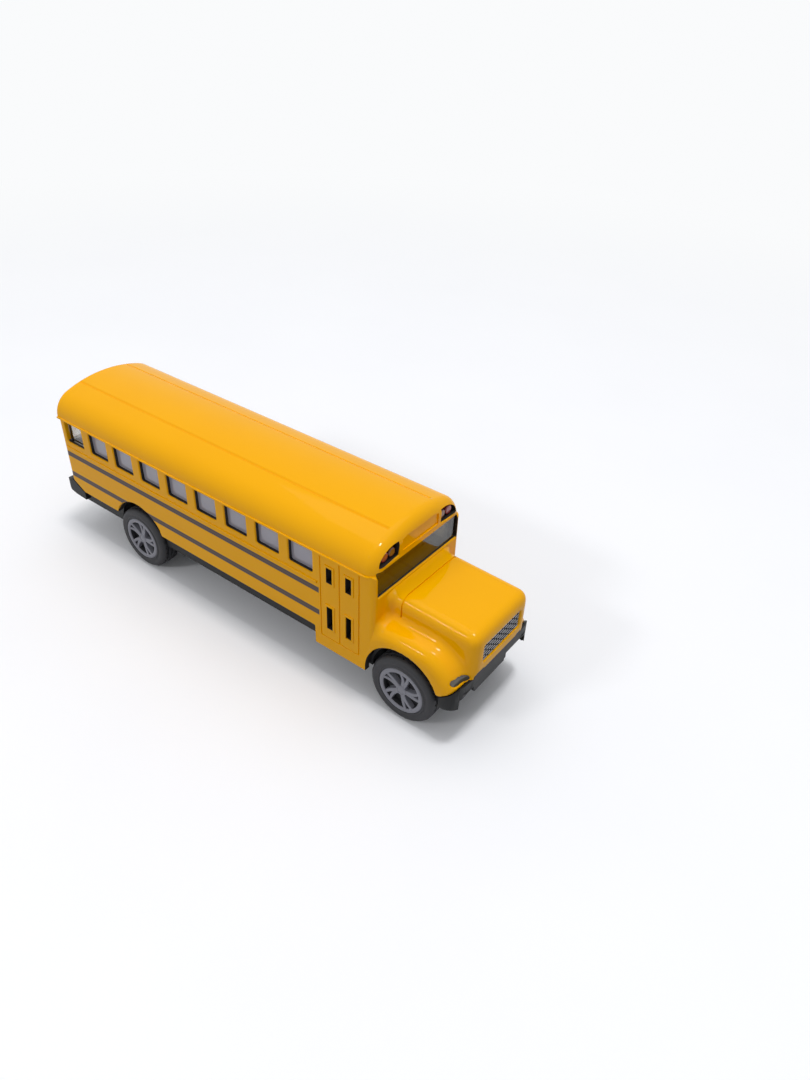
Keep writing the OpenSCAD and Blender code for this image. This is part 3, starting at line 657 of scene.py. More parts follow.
@dataclass(frozen=True)
class Layout:
    """Stations and heights that several sub-assemblies share, in millimetres."""

    rear_wall_x: float = -61.7
    cab_x: float = 43.5
    front_x: float = 65.5
    side_y: float = 15.3
    wall: float = 1.5
    skirt_z: float = 13.6
    door_skirt_z: float = 8.6
    door_skirt_x: float = 26.65
    sill_z: float = 28.4
    eave_z: float = 34.9
    roof_z: float = 43.0
    crown_r: float = 34.0
    shoulder_r: float = 6.2
    hood_z: float = 29.0
    windshield_z: float = 29.6
    windshield_top_z: float = 36.1
    header_z: float = 36.9
    header_in_y: float = 7.4
    header_out_y: float = 13.6
    header_h: float = 3.5
    front_axle_x: float = 50.8
    rear_axle_x: float = -34.7
    axle_z: float = 8.4
    arch_z: float = 9.9
    arch_r: float = 9.6
    rear_arch_shift: float = 0.7
    well_y: float = 8.9

    def vault(self, inset: float, x0: float, x1: float, low_z: float, half: float) -> BMesh:
        """Makes a solid under the arched roof, with upright sides.

        Args:
            inset: How far its top lies inside the roof.
            x0: Its rear end.
            x1: Its front end.
            low_z: Height of its underside.
            half: Half its width.

        Returns:
            The solid as a new bmesh.
        """
        big, small = self.crown_r - inset, self.shoulder_r - inset
        low, reach = self.roof_z - self.crown_r, half - small
        rise = math.sqrt((big - small) ** 2 - reach ** 2)
        lean = math.atan2(reach, rise)
        arcs = (((x0, 0, low), lean, 12), ((x0, reach, low + rise), math.pi / 2 - lean, 14))
        bm = bmesh.new()
        end = bm.verts.new((x0, 0, low + big))
        for centre, angle, steps in arcs:
            made = bmesh.ops.spin(bm, geom=[end], cent=centre, axis=(1, 0, 0), angle=-angle, steps=steps)
            end = next(item for item in made["geom_last"] if isinstance(item, BMVert))
        end = bmesh.ops.extrude_vert_indiv(bm, verts=[end])["verts"][0]
        end.co = (x0, half, low_z)
        bmesh.ops.mirror(bm, geom=bm.verts[:] + bm.edges[:], axis="Y", merge_dist=NEAR)
        bm.edges.new(sorted(bm.verts, key=lambda v: v.co.z)[:2])
        bmesh.ops.edgeloop_fill(bm, edges=bm.edges[:])
        draw_out(bm, Way.X, x1 - x0)
        return bm


@dataclass
class Casting:
    """The painted body: cabin, roof, hood and fenders in one casting."""

    at: Layout
    window_count: int = 9
    window_x: float = -59.7
    window_step: float = 9.9
    window_w: float = 6.9
    window_r: float = 0.5
    window_top_gap: float = 0.35
    rim_r: float = 0.35
    cab_corner_r: float = 1.3
    rear_corner_r: float = 0.9
    hem_r: float = 0.3
    lip: float = 0.55
    lip_h: float = 0.45
    rear_lip_share: float = 0.7
    roof_front_r: float = 3.0
    roof_rear_r: float = 0.9
    roof_end: float = 6.0
    groove_y: float = 7.3
    groove_w: float = 0.6
    groove_depth: float = 0.3
    groove_back: float = 2.0
    rail_z: float = 26.7
    rail_r: float = 0.32
    door_x: float = 28.7
    door_w: float = 10.7
    door_z: float = 12.2
    door_margin: float = 1.0
    slot_x: tuple[float, float] = (30.6, 35.9)
    slot_w: float = 1.6
    slot_z: tuple[Flat, Flat] = ((15.26, 21.46), (28.2, 32.2))
    slot_rim: float = 0.5
    slot_rim_r: float = 0.2
    slot_proud: float = 0.25
    line_w: float = 0.4
    line_depth: float = 0.3
    sign_depth: float = 0.3
    sign_half: float = 6.3
    sign_z: Flat = (37.5, 40.6)
    sign_corner: Flat = (1.5, 0.5)
    rear_door_half: float = 6.0
    rear_window_w: float = 6.0
    shield_in: float = 1.0
    rear_line_z: float = 17.1
    hood_half: float = 10.5
    hood_fall: float = 0.8
    hood_r: float = 2.4
    hood_low_z: float = 12.0
    hood_root: float = 2.0
    panel_line_x: float = 46.9
    panel_line_h: float = 5.0
    panel_line_fall: float = 0.16
    fender_l: float = 13.4
    fender_top_z: float = 22.7
    fender_low_z: float = 4.0
    fender_corner_r: float = 9.4
    fender_r: float = 3.0
    slab_x: Flat = (1.3, 0.08)
    slab_in: float = 0.3
    slab_z: Flat = (9.5, 29.2)
    nose_lap: float = 0.1
    bay_front_x: float = 61.2
    bay_margin: float = 0.2
    bay_roof: float = 2.0
    apron_x: float = 61.6
    apron_y: Flat = (8.8, 9.7)
    apron_z: Flat = (9.0, 15.9)
    front_low_z: float = 18.0
    hem_low: Flat = (50.0, 3.0)
    hem_edge: tuple[Flat, ...] = ((BEYOND_X, 16.2), (64.0, 16.2), (62.9, 15.0), (61.6, 14.1), (60.5, 13.4),
                                  (50.0, 13.4))
    corner_cut_x: float = -57.1
    corner_cut_z: float = 16.2
    grille_half: float = 7.1
    grille_z: Flat = (20.09, 24.69)
    grille_back_x: float = 64.2
    lamp_y: float = 11.96
    lamp_z: float = 17.2
    lamp_half: Flat = (2.05, 0.75)
    lamp_back_x: float = 59.9
    lamp_seam: float = 0.05
    form_voxel: float = 0.3
    skin_voxel: float = 0.25
    valley_r: float = 1.3
    form: BMesh | None = field(default=None, repr=False)

    def walls(self) -> BMesh:
        """Builds the side panels with their dropped skirt, as a solid block with rounded corners.

        Returns:
            The solid.
        """
        at = self.at
        top = at.eave_z + self.lip
        outline = [(at.rear_wall_x, self.corner_cut_z), (self.corner_cut_x, at.skirt_z),
                   (at.door_skirt_x, at.skirt_z), (at.door_skirt_x, at.door_skirt_z),
                   (at.cab_x, at.door_skirt_z), (at.cab_x, top), (at.rear_wall_x, top)]
        bm = prism(outline, Way.Y, -at.side_y, at.side_y, self.rim_r, (2, 3), 4)
        for x, radius in ((at.cab_x, self.cab_corner_r), (at.rear_wall_x, self.rear_corner_r)):
            upright = edges_where(bm, lambda p: abs(p.x - x) < NEAR and abs(p.y) > at.side_y - NEAR)
            soften(bm, upright, radius, 6)
        hem = edges_where(bm, lambda p: p.z < self.corner_cut_z + NEAR, SHARP)
        soften(bm, [e for e in hem if abs(e.verts[0].co.y + e.verts[1].co.y) > at.side_y], self.hem_r, 2)
        return bm

    def roof(self) -> BMesh:
        """Builds the arched roof with its rounded front and rear edges, on a drip lip that runs round it.

        Returns:
            The solid.
        """
        at = self.at
        half, edge = at.side_y + self.lip / 2, at.side_y + self.lip
        rear = at.rear_wall_x - self.lip * self.rear_lip_share
        bm = at.vault(0, rear, at.cab_x, at.eave_z + NEAR, half)
        for x, radius, steps in ((at.cab_x, self.roof_front_r, 10), (rear, self.roof_rear_r, 5)):
            ring = [e for e in edges_where(bm, lambda p: abs(p.x - x) < NEAR)
                    if max(v.co.z for v in e.verts) > at.eave_z + 2 * NEAR]
            soften(bm, ring, radius, steps)
        drip = prism(rectangle(rear + self.lip, at.cab_x, -edge, edge), Way.Z, at.eave_z,
                     at.eave_z + self.lip_h, self.roof_front_r, (1, 2), 10)
        upper = edges_where(drip, lambda p: p.z > at.eave_z + NEAR and p.x < at.cab_x - NEAR)
        soften(drip, upper, self.lip / 3, 2)
        return combine(bm, Cut.JOIN, drip)

    def window_span(self, gap: float) -> Flat:
        """Gives the height of a window's lower and upper edge, less a gap at each."""
        return self.at.sill_z + gap, self.at.eave_z - self.window_top_gap - gap

    def cab_span(self) -> Flat:
        """Gives the ends of a tool that cuts through the cab's front wall."""
        return self.at.cab_x - 2 * self.at.wall, self.at.cab_x + OVER

    def window_tools(self, gap: float = 0) -> BMesh:
        """Builds the solids that open the side windows and the driver's window.

        Args:
            gap: Clearance by which they are smaller, for panes.

        Returns:
            The solids.
        """
        out = self.at.side_y + OVER
        starts = [self.window_x + self.window_step * i for i in range(self.window_count)]
        spans = [(x, self.window_w, -out) for x in starts] + [(self.door_x, self.door_w, 0)]
        low, top = self.window_span(gap)
        return gather(*[prism(rectangle(x + gap, x + width - gap, low, top), Way.Y, y, out, self.window_r,
                              (0, 1)) for x, width, y in spans])

    def slots(self, grow: float, y0: float, y1: float) -> list[BMesh]:
        """Builds a block for each of the door's slots, larger by a margin, between two distances in Y."""
        return [block((x - grow, y0, low - grow), (x + self.slot_w + grow, y1, high + grow))
                for x in self.slot_x for low, high in self.slot_z]

    def slot_tools(self) -> list[BMesh]:
        """Builds the solids that open the door slots."""
        return self.slots(0, -self.at.side_y - OVER, -self.at.side_y + 2 * self.at.wall)

    def slot_rims(self) -> BMesh:
        """Builds the raised rims of the door slots.

        Returns:
            The solids.
        """
        at = self.at
        rims = self.slots(self.slot_rim, -at.side_y - self.slot_proud, -at.side_y + at.wall / 2)
        for rim in rims:
            soften(rim, edges_where(rim, lambda p: p.y < -at.side_y), self.slot_rim_r, 3)
        return gather(*rims)

    def shield_tool(self, gap: float = 0) -> BMesh:
        """Builds the solid that opens the windshield, less a gap for its pane."""
        at = self.at
        y = at.side_y - self.shield_in - gap
        return prism(rectangle(-y, y, at.windshield_z + gap, at.windshield_top_z - gap), Way.X,
                     *self.cab_span(), self.rim_r, None, 3)

    def header_tools(self) -> BMesh:
        """Builds the quarter ovals that open the header's corners.

        Returns:
            The solids.
        """
        at, (x0, x1) = self.at, self.cab_span()
        y, z = at.header_in_y, at.header_z
        bm = bmesh.new()
        first = bm.verts.new((x0, y, z + at.header_h))
        bmesh.ops.spin(bm, geom=[first], cent=(x0, y, z), axis=(1, 0, 0), angle=-math.pi / 2, steps=12)
        stretch = (1, (at.header_out_y - y) / at.header_h, 1)
        bmesh.ops.scale(bm, verts=bm.verts[:], vec=stretch, space=Matrix.Translation((0, -y, 0)))
        ends = [v for v in bm.verts if len(v.link_edges) == 1]
        middle = bm.verts.new((x0, y, z))
        for v in ends:
            bm.edges.new((v, middle))
        bmesh.ops.edgeloop_fill(bm, edges=bm.edges[:])
        draw_out(bm, Way.X, x1 - x0)
        return mirrored(bm)

    def rear_tools(self, gap: float = 0) -> BMesh:
        """Builds the solids that open the rear windows.

        Args:
            gap: Clearance by which they are smaller, for panes.

        Returns:
            The solids.
        """
        at = self.at
        x0, x1 = at.rear_wall_x - OVER, at.rear_wall_x + 2 * at.wall
        inner, outer = self.rear_door_half - at.wall, self.rear_door_half + at.wall
        far = outer + self.rear_window_w
        low, top = self.window_span(gap)
        return gather(*[prism(rectangle(y0 + gap, y1 - gap, low, top), Way.X, x0, x1, self.window_r / 2,
                              segments=4) for y0, y1 in ((-inner, inner), (outer, far), (-far, -outer))])

    def arch_tools(self) -> BMesh:
        """Builds the solids that open the wheel arches, without their middle at the front.

        Returns:
            The solids.
        """
        at, r = self.at, self.at.arch_r
        out, front, rear = at.side_y + OVER, at.front_axle_x, at.rear_axle_x + at.rear_arch_shift
        spans = ((rear, -out, out), (front, at.well_y, out), (front, -out, -at.well_y))
        return gather(*[prism(rectangle(x - r, x + r, 0, at.arch_z + r), Way.Y, y0, y1, r - NEAR, (2, 3), 24)
                        for x, y0, y1 in spans])

    def bay_tool(self) -> BMesh:
        """Builds the hollow under the hood."""
        at, y = self.at, self.at.well_y + PROUD
        return block((self.cab_span()[0], -y, 0), (self.bay_front_x, y, at.hood_z - self.hood_fall - at.wall))

    def line_tools(self) -> BMesh:
        """Builds the upright grooves engraved round the door and down the rear door.

        Returns:
            The solids.
        """
        at, w, deep = self.at, self.line_w / 2, self.line_depth
        top, side, rear = at.eave_z - NEAR, -at.side_y - PROUD, at.rear_wall_x - PROUD
        tools = [prism([(x - w, side), (x + w, side), (x, deep - at.side_y)], Way.Z, self.door_z, top)
                 for x in (self.door_x, self.door_x + self.door_w / 2, self.door_x + self.door_w)]
        for y in (-self.rear_door_half, self.rear_door_half):
            outline = [(rear, y - w), (rear, y + w), (at.rear_wall_x + deep, y)]
            tools.append(prism(outline, Way.Z, self.rear_line_z, top))
        return gather(*tools)

    def door_sill_tool(self) -> BMesh:
        """Builds the groove along the door's lower edge."""
        at, w, z = self.at, self.line_w / 2, self.door_z
        outline = [(-at.side_y - PROUD, z - w), (-at.side_y - PROUD, z + w), (self.line_depth - at.side_y, z)]
        return prism(outline, Way.X, self.door_x, self.door_x + self.door_w)

    def sign_tool(self) -> BMesh:
        """Builds the shallow recess of the bare sign panel over the windshield."""
        at, (low, high), half, (in_y, in_z) = self.at, self.sign_z, self.sign_half, self.sign_corner
        outline = [(-half, low), (half, low), (half, high - in_z), (half - in_y, high), (in_y - half, high),
                   (-half, high - in_z)]
        return prism(outline, Way.X, at.cab_x - self.sign_depth, at.cab_x + OVER)

    def roof_line_tools(self) -> BMesh:
        """Builds the two long grooves of the roof.

        Returns:
            The solids.
        """
        at, w = self.at, self.groove_w
        floor = at.roof_z - at.crown_r + math.sqrt(at.crown_r ** 2 - self.groove_y ** 2) - self.groove_depth
        top = floor + 2 * self.groove_depth
        x0, x1 = at.rear_wall_x - self.groove_back, at.cab_x - self.roof_front_r
        return gather(*[prism([(y - w, top), (y + w, top), (y, floor)], Way.X, x0, x1)
                        for y in (-self.groove_y, self.groove_y)])

    def rails(self) -> BMesh:
        """Builds the moulded rail under the side windows."""
        start, end = self.at.rear_wall_x + self.at.wall, self.door_x - self.door_margin
        return gather(*[rod(Way.X, (side.value * self.at.side_y, self.rail_z), self.rail_r, start, end, 16)
                        for side in Side])

    def cabin(self) -> BMesh:
        """Builds the cabin with its roof, openings and relief.

        Returns:
            The solid.
        """
        at, half = self.at, self.at.side_y - self.at.wall
        hollow = at.vault(at.wall, at.rear_wall_x + at.wall, at.cab_x - at.wall, 0, half)
        front = gather(self.shield_tool(), self.header_tools())
        bm = combine(self.walls(), Cut.JOIN, self.roof(), self.slot_rims())
        bm = combine(bm, Cut.REMOVE, hollow, self.window_tools(), front, self.rear_tools(), self.arch_tools(),
                     self.bay_tool())
        bmesh.ops.remove_doubles(bm, verts=bm.verts[:], dist=MERGE)
        self.round_rims(bm)
        bm = combine(bm, Cut.JOIN, self.rails())
        return combine(bm, Cut.REMOVE, self.line_tools(), self.door_sill_tool(), self.sign_tool(),
                       self.roof_line_tools(), *self.slot_tools())

    def round_rims(self, bm: BMesh) -> None:
        """Rounds the outer edges of the windows, arches and front and rear openings.

        Args:
            bm: The cabin, with its openings cut.
        """
        at, top = self.at, self.at.eave_z - NEAR
        low, door = at.skirt_z + OVER, self.door_x - self.door_margin
        sides = edges_where(bm, lambda p: abs(abs(p.y) - at.side_y) < NEAR and low < p.z < top, SHARP)
        front = edges_where(bm, lambda p: abs(p.x - at.cab_x) < NEAR and p.z > at.windshield_z - NEAR
                            and abs(p.y) < at.side_y - self.cab_corner_r / 2, SHARP)
        rear = edges_where(bm, lambda p: abs(p.x - at.rear_wall_x) < NEAR and at.sill_z - NEAR < p.z < top
                           and abs(p.y) < at.side_y - self.rear_corner_r, SHARP)
        off_door = [e for e in sides if min(v.co.x for v in e.verts) <= door or e.verts[0].co.y > 0]
        soften(bm, off_door + front + rear, self.rim_r, 3)

    def nose_form(self) -> BMesh:
        """Builds the outer form of hood and fenders as one skin with a soft valley between them.

        Returns:
            The skin.
        """
        at, half = self.at, self.hood_half
        hood = block((at.cab_x - self.hood_root, -half, self.hood_low_z), (at.front_x, half, at.hood_z))
        for v in hood.verts:
            if v.co.x > at.cab_x and v.co.z > at.hood_z - NEAR:
                v.co.z -= self.hood_fall
        low = at.hood_z - self.hood_fall - NEAR
        upper = edges_where(hood, lambda p: p.z > low)
        upright = [e for e in edges_where(hood, lambda p: p.x > at.cab_x) if e not in upper]
        edges = [e for e in upper + upright if any(v.co.x >= at.cab_x for v in e.verts)
                 and any(v.co.z >= low for v in e.verts)]
        soften(hood, edges, self.hood_r, 10)
        fender = block((at.front_axle_x - self.fender_l, half - at.wall, self.fender_low_z),
                       (at.front_axle_x + self.fender_l, at.side_y, self.fender_top_z))
        ridge = edges_where(fender, lambda p: p.z > self.fender_top_z - NEAR)
        soften(fender, [e for e in ridge if span(e, Way.X) < NEAR], self.fender_corner_r, 14)
        soften(fender, edges_where(fender, lambda p: p.y > at.side_y - NEAR), self.fender_r, 8)
        y, (back, front), (low, high) = at.side_y - self.slab_in, self.slab_x, self.slab_z
        slab = block((at.cab_x - back, -y, low), (at.cab_x - front, y, high))
        bm = revoxel(gather(hood, mirrored(fender), slab), self.form_voxel)
        for distance in (self.valley_r, -self.valley_r):
            swell(bm, distance)
            bm = revoxel(bm, self.form_voxel)
        relax(bm, 5)
        return bm

    def apron(self, gap: float) -> list[Flat]:
        """Gives the front view of the space under the nose that the bumper fills, as y and z, less a gap."""
        high, (floor, low), (y0, y1) = self.front_low_z - gap, self.apron_z, self.apron_y
        return [(-y1, floor), (y1, floor), (y1, low - gap), (y0, high), (-y0, high), (-y1, low - gap)]

    def hem(self, gap: float) -> list[Flat]:
        """Gives the side view of the space under the fender's front, as x and z, less a gap."""
        return [self.hem_low, (BEYOND_X, self.hem_low[1]), *[(x, z - gap) for x, z in self.hem_edge]]

    def headlamp_tool(self, gap: float) -> BMesh:
        """Builds the long oval that a headlamp is let in by, on both sides.

        Args:
            gap: Clearance round the lamp and behind it.

        Returns:
            The solids.
        """
        half_l, half_h = self.lamp_half[0] + gap, self.lamp_half[1] + gap
        back = self.lamp_back_x + self.lamp_seam - gap
        bm = prism(rectangle(-half_l, half_l, -half_h, half_h), Way.X, back, self.at.front_x + OVER,
                   half_h - NEAR, None, 8)
        bmesh.ops.translate(bm, verts=bm.verts[:], vec=(0, self.lamp_y, self.lamp_z))
        return mirrored(bm)

    def nose(self) -> BMesh:
        """Builds the hood and fenders with arches, grille recess and lamp recesses.

        Returns:
            The solid.
        """
        at, half, deep = self.at, self.hood_half, self.line_depth
        sill = prism(self.hem(0), Way.Y, -BEYOND, BEYOND)
        middle = prism(self.apron(0), Way.X, self.apron_x, BEYOND_X)
        grille = block((self.grille_back_x, -self.grille_half, self.grille_z[0]),
                       (at.front_x + OVER, self.grille_half, self.grille_z[1]))
        behind = block((self.door_x, -BEYOND, 0), (at.cab_x - at.wall + self.nose_lap, BEYOND, at.roof_z))
        bm = combine(self.form.copy(), Cut.REMOVE, behind, sill, middle, self.arch_tools(), self.bay_tool(),
                     grille, self.headlamp_tool(self.lamp_seam))
        bm = revoxel(bm, self.skin_voxel)
        relax(bm, 3)
        x, w = self.panel_line_x, self.line_w / 2
        line = block((x - w, -half - OVER, at.hood_z - self.panel_line_h),
                     (x + w, half + OVER, at.hood_z + OVER))
        core = block((at.cab_x - self.hood_root, deep - half, self.hood_low_z),
                     (at.front_x, half - deep, at.hood_z - deep - self.panel_line_fall))
        upper = edges_where(core, lambda p: p.z > self.hood_low_z + NEAR)
        soften(core, [e for e in upper if span(e, Way.Y) < NEAR], self.hood_r - deep, 10)
        return combine(bm, Cut.REMOVE, combine(line, Cut.REMOVE, core))

    def build(self) -> Object:
        """Builds and dresses the casting.

        Returns:
            The piece.
        """
        self.form = self.nose_form()
        bm = combine(self.cabin(), Cut.JOIN, self.nose())
        # The inner faces, the deep reveals and the hollow under the hood take the near-black painted shade
        return finish_piece("body_casting", bm, "bus", [PAINT, PAINTED_SHADE_INSIDE], ["body_shell"],
                            lambda f: int(self.is_shaded(f)), 34)

    def is_shaded(self, face: BMFace) -> bool:
        """Says whether a face is one of the casting's inner faces, painted near black as shade.

        Args:
            face: A face of the finished casting.

        Returns:
            True for an inner face.
        """
        at = self.at
        place, normal = face.calc_center_median(), face.normal
        deep = self.rim_r + NEAR
        if place.x > at.cab_x - deep:
            return (abs(place.y) < at.well_y + self.bay_margin and place.z < at.hood_z - self.bay_roof
                    and place.x < self.bay_front_x + self.bay_margin)
        if place.z > at.header_z - NEAR and place.x > at.cab_x - at.wall and abs(normal.x) < FACING:
            return True
        if place.z > at.eave_z:
            along = place.x - min(max(place.x, at.rear_wall_x + self.roof_end), at.cab_x - self.roof_end)
            return normal.dot(Vector((along, place.y, place.z - at.sill_z))) < 0
        if place.x < self.window_x + NEAR and abs(place.y) > at.side_y - at.wall:
            return False
        return abs(place.y) < at.side_y - deep and place.x > at.rear_wall_x + deep


@dataclass
class Glazing:
    """One clear canopy behind every window, the windshield and the header."""

    casting: Casting
    gap: float = 0.05
    thick: float = 1.0
    low_z: float = 26.4
    side_set: float = 1.05
    front_set: float = 0.6
    clear_x: float = -52.5
    shield_in: float = 2.0

    def hull(self, inset: float, low: float) -> BMesh:
        """Builds the solid that lies inside the casting by an inset, from a height upwards."""
        at = self.casting.at
        return at.vault(inset, at.rear_wall_x + inset, at.cab_x - inset, low, at.side_y - inset)

    def pane(self, face: BMFace) -> int:
        """Picks a face's finish: a painted floor reflection on the side panes, clean at the rear corner,
        smoked elsewhere.

        Args:
            face: A face of the canopy.

        Returns:
            The number of its finish.
        """
        at, place = self.casting.at, face.calc_center_median()
        if place.x < self.clear_x:
            return 2
        edge = at.side_y - at.wall - self.gap - NEAR
        return int(abs(place.y) > edge and place.x < at.cab_x - self.shield_in)

    def build(self) -> Object:
        """Builds and dresses the canopy, with panes that stand out into the openings.

        Returns:
            The piece.
        """
        cast, gap, low = self.casting, self.gap, self.low_z
        out = cast.at.wall + gap
        bm = self.hull(out, low)
        for tools, inset in ((cast.window_tools(gap), self.side_set), (cast.rear_tools(gap), self.side_set),
                             (cast.shield_tool(gap), self.front_set)):
            bm = combine(bm, Cut.JOIN, combine(tools, Cut.KEEP, self.hull(inset, low)))
        bm = combine(bm, Cut.REMOVE, self.hull(out + self.thick, low - OVER))
        # The side panes take the pale lavender-grey painted reflection
        finishes = [GLAZING, PAINTED_REFLECTION_GLAZING, CLEAN_GLAZING]
        return finish_piece("clear_glazing", bm, "bus", finishes, ["glazing_insert"],
                            self.pane)


@dataclass
class HeaderLamps:
    """Two pairs of round warning lamps behind the header's corner openings."""

    at: Layout
    radius: float = 1.15
    height_z: float = 38.175
    red_y: float = 11.25
    amber_y: float = 8.8
    seat: float = 0.04
    dome_r: float = 0.35

    def lamp(self, y: float) -> BMesh:
        """Builds a domed lamp and its twin on the other side.

        Args:
            y: The lamp's distance from the middle.

        Returns:
            The pair.
        """
        x0, x1 = self.at.cab_x - self.at.wall - self.seat, self.at.cab_x - self.at.wall / 2
        bm = rod(Way.X, (y, self.height_z), self.radius, x0, x1, 32)
        soften(bm, edges_where(bm, lambda p: p.x > x1 - NEAR), self.dome_r, 4)
        return mirrored(bm)

    def build(self) -> None:
        """Builds and dresses both pairs."""
        for name, y, finish, slot in (("red_warning_lamps", self.red_y, RED_LENS, "red_lens"),
                                      ("amber_warning_lamps", self.amber_y, AMBER_LENS, "amber_lens")):
            finish_piece(name.replace("warning", "header"), self.lamp(y), "bus", [finish], [name])


@dataclass
class Grille:
    """Silver staggered bars on a black plate in the front panel."""

    casting: Casting
    seam: float = 0.05
    plate_t: float = 0.6
    front_x: float = 65.2
    rows: int = 6
    columns: int = 7
    gap: float = 0.34
    root: float = 0.1
    edge_r: float = 0.1

    def build(self) -> Object:
        """Builds and dresses the grille.

        Returns:
            The piece.
        """
        cast, gap, half = self.casting, self.gap, self.casting.grille_half - self.seam
        low, high = cast.grille_z[0] + self.seam, cast.grille_z[1] - self.seam
        row, step = (high - low) / self.rows, 2 * half / self.columns
        face = cast.grille_back_x + self.plate_t
        parts = [block((cast.grille_back_x, -half, low), (face, half, high))]
        for i in range(self.rows):
            shift = (i % 2) * step / 2
            for k in range(self.columns + 1):
                y0 = max(-half + step * k - shift, -half) + gap / 2
                y1 = min(-half + step * (k + 1) - shift, half) - gap / 2
                if y1 - y0 < gap:
                    continue
                z0 = low + row * i + gap / 2
                bar = block((face - self.root, y0, z0), (self.front_x, y1, z0 + row - gap))
                soften(bar, edges_where(bar, lambda p: p.x > self.front_x - NEAR), self.edge_r, 2)
                parts.append(bar)
        return finish_piece("grille_bars", gather(*parts), "bus", [BLACK_ABS, SILVER_PRINT],
                            ["grille_insert"],
                            lambda f: int(f.normal.x > FACING and f.calc_center_median().x > face + NEAR))


@dataclass
class Headlamps:
    """Long lenses let into the fender fronts."""

    casting: Casting
    recess: float = 0.3

    def build(self) -> Object:
        """Builds and dresses the lenses from the fenders' own form, set back a little.

        Returns:
            The piece.
        """
        form = self.casting.form.copy()
        bmesh.ops.translate(form, verts=form.verts[:], vec=(-self.recess, 0, 0))
        bm = combine(self.casting.headlamp_tool(0), Cut.KEEP, form)
        return finish_piece("headlamp_glass", bm, "bus", [GREY_LENS], ["headlamp_lenses"])


@dataclass
class TailLamps:
    """Round red lenses on the rear wall."""

    at: Layout
    y: float = 11.46
    z: float = 20.0
    radius: float = 1.6
    thick: float = 0.8
    steps: tuple[Flat, ...] = ((0.35, 0.0), (0.12, -0.18), (0.5, 0.16))
    edge_r: float = 0.15

    def build(self) -> Object:
        """Builds and dresses the pair, each with a raised ring and a domed middle.

        Returns:
            The piece.
        """
        x1 = self.at.rear_wall_x + self.thick / 2
        x0 = x1 - self.thick
        bm = rod(Way.X, (self.y, self.z), self.radius, x0, x1, 48)
        step_in(bm, min(bm.faces, key=lambda f: f.calc_center_median().x), self.steps)
        soften(bm, edges_where(bm, lambda p: p.x < x0 + NEAR and math.hypot(p.y - self.y, p.z - self.z)
                               > self.radius - NEAR), self.edge_r, 3)
        return finish_piece("tail_lamp_lenses", mirrored(bm), "bus", [RED_LENS], ["tail_lamps"])


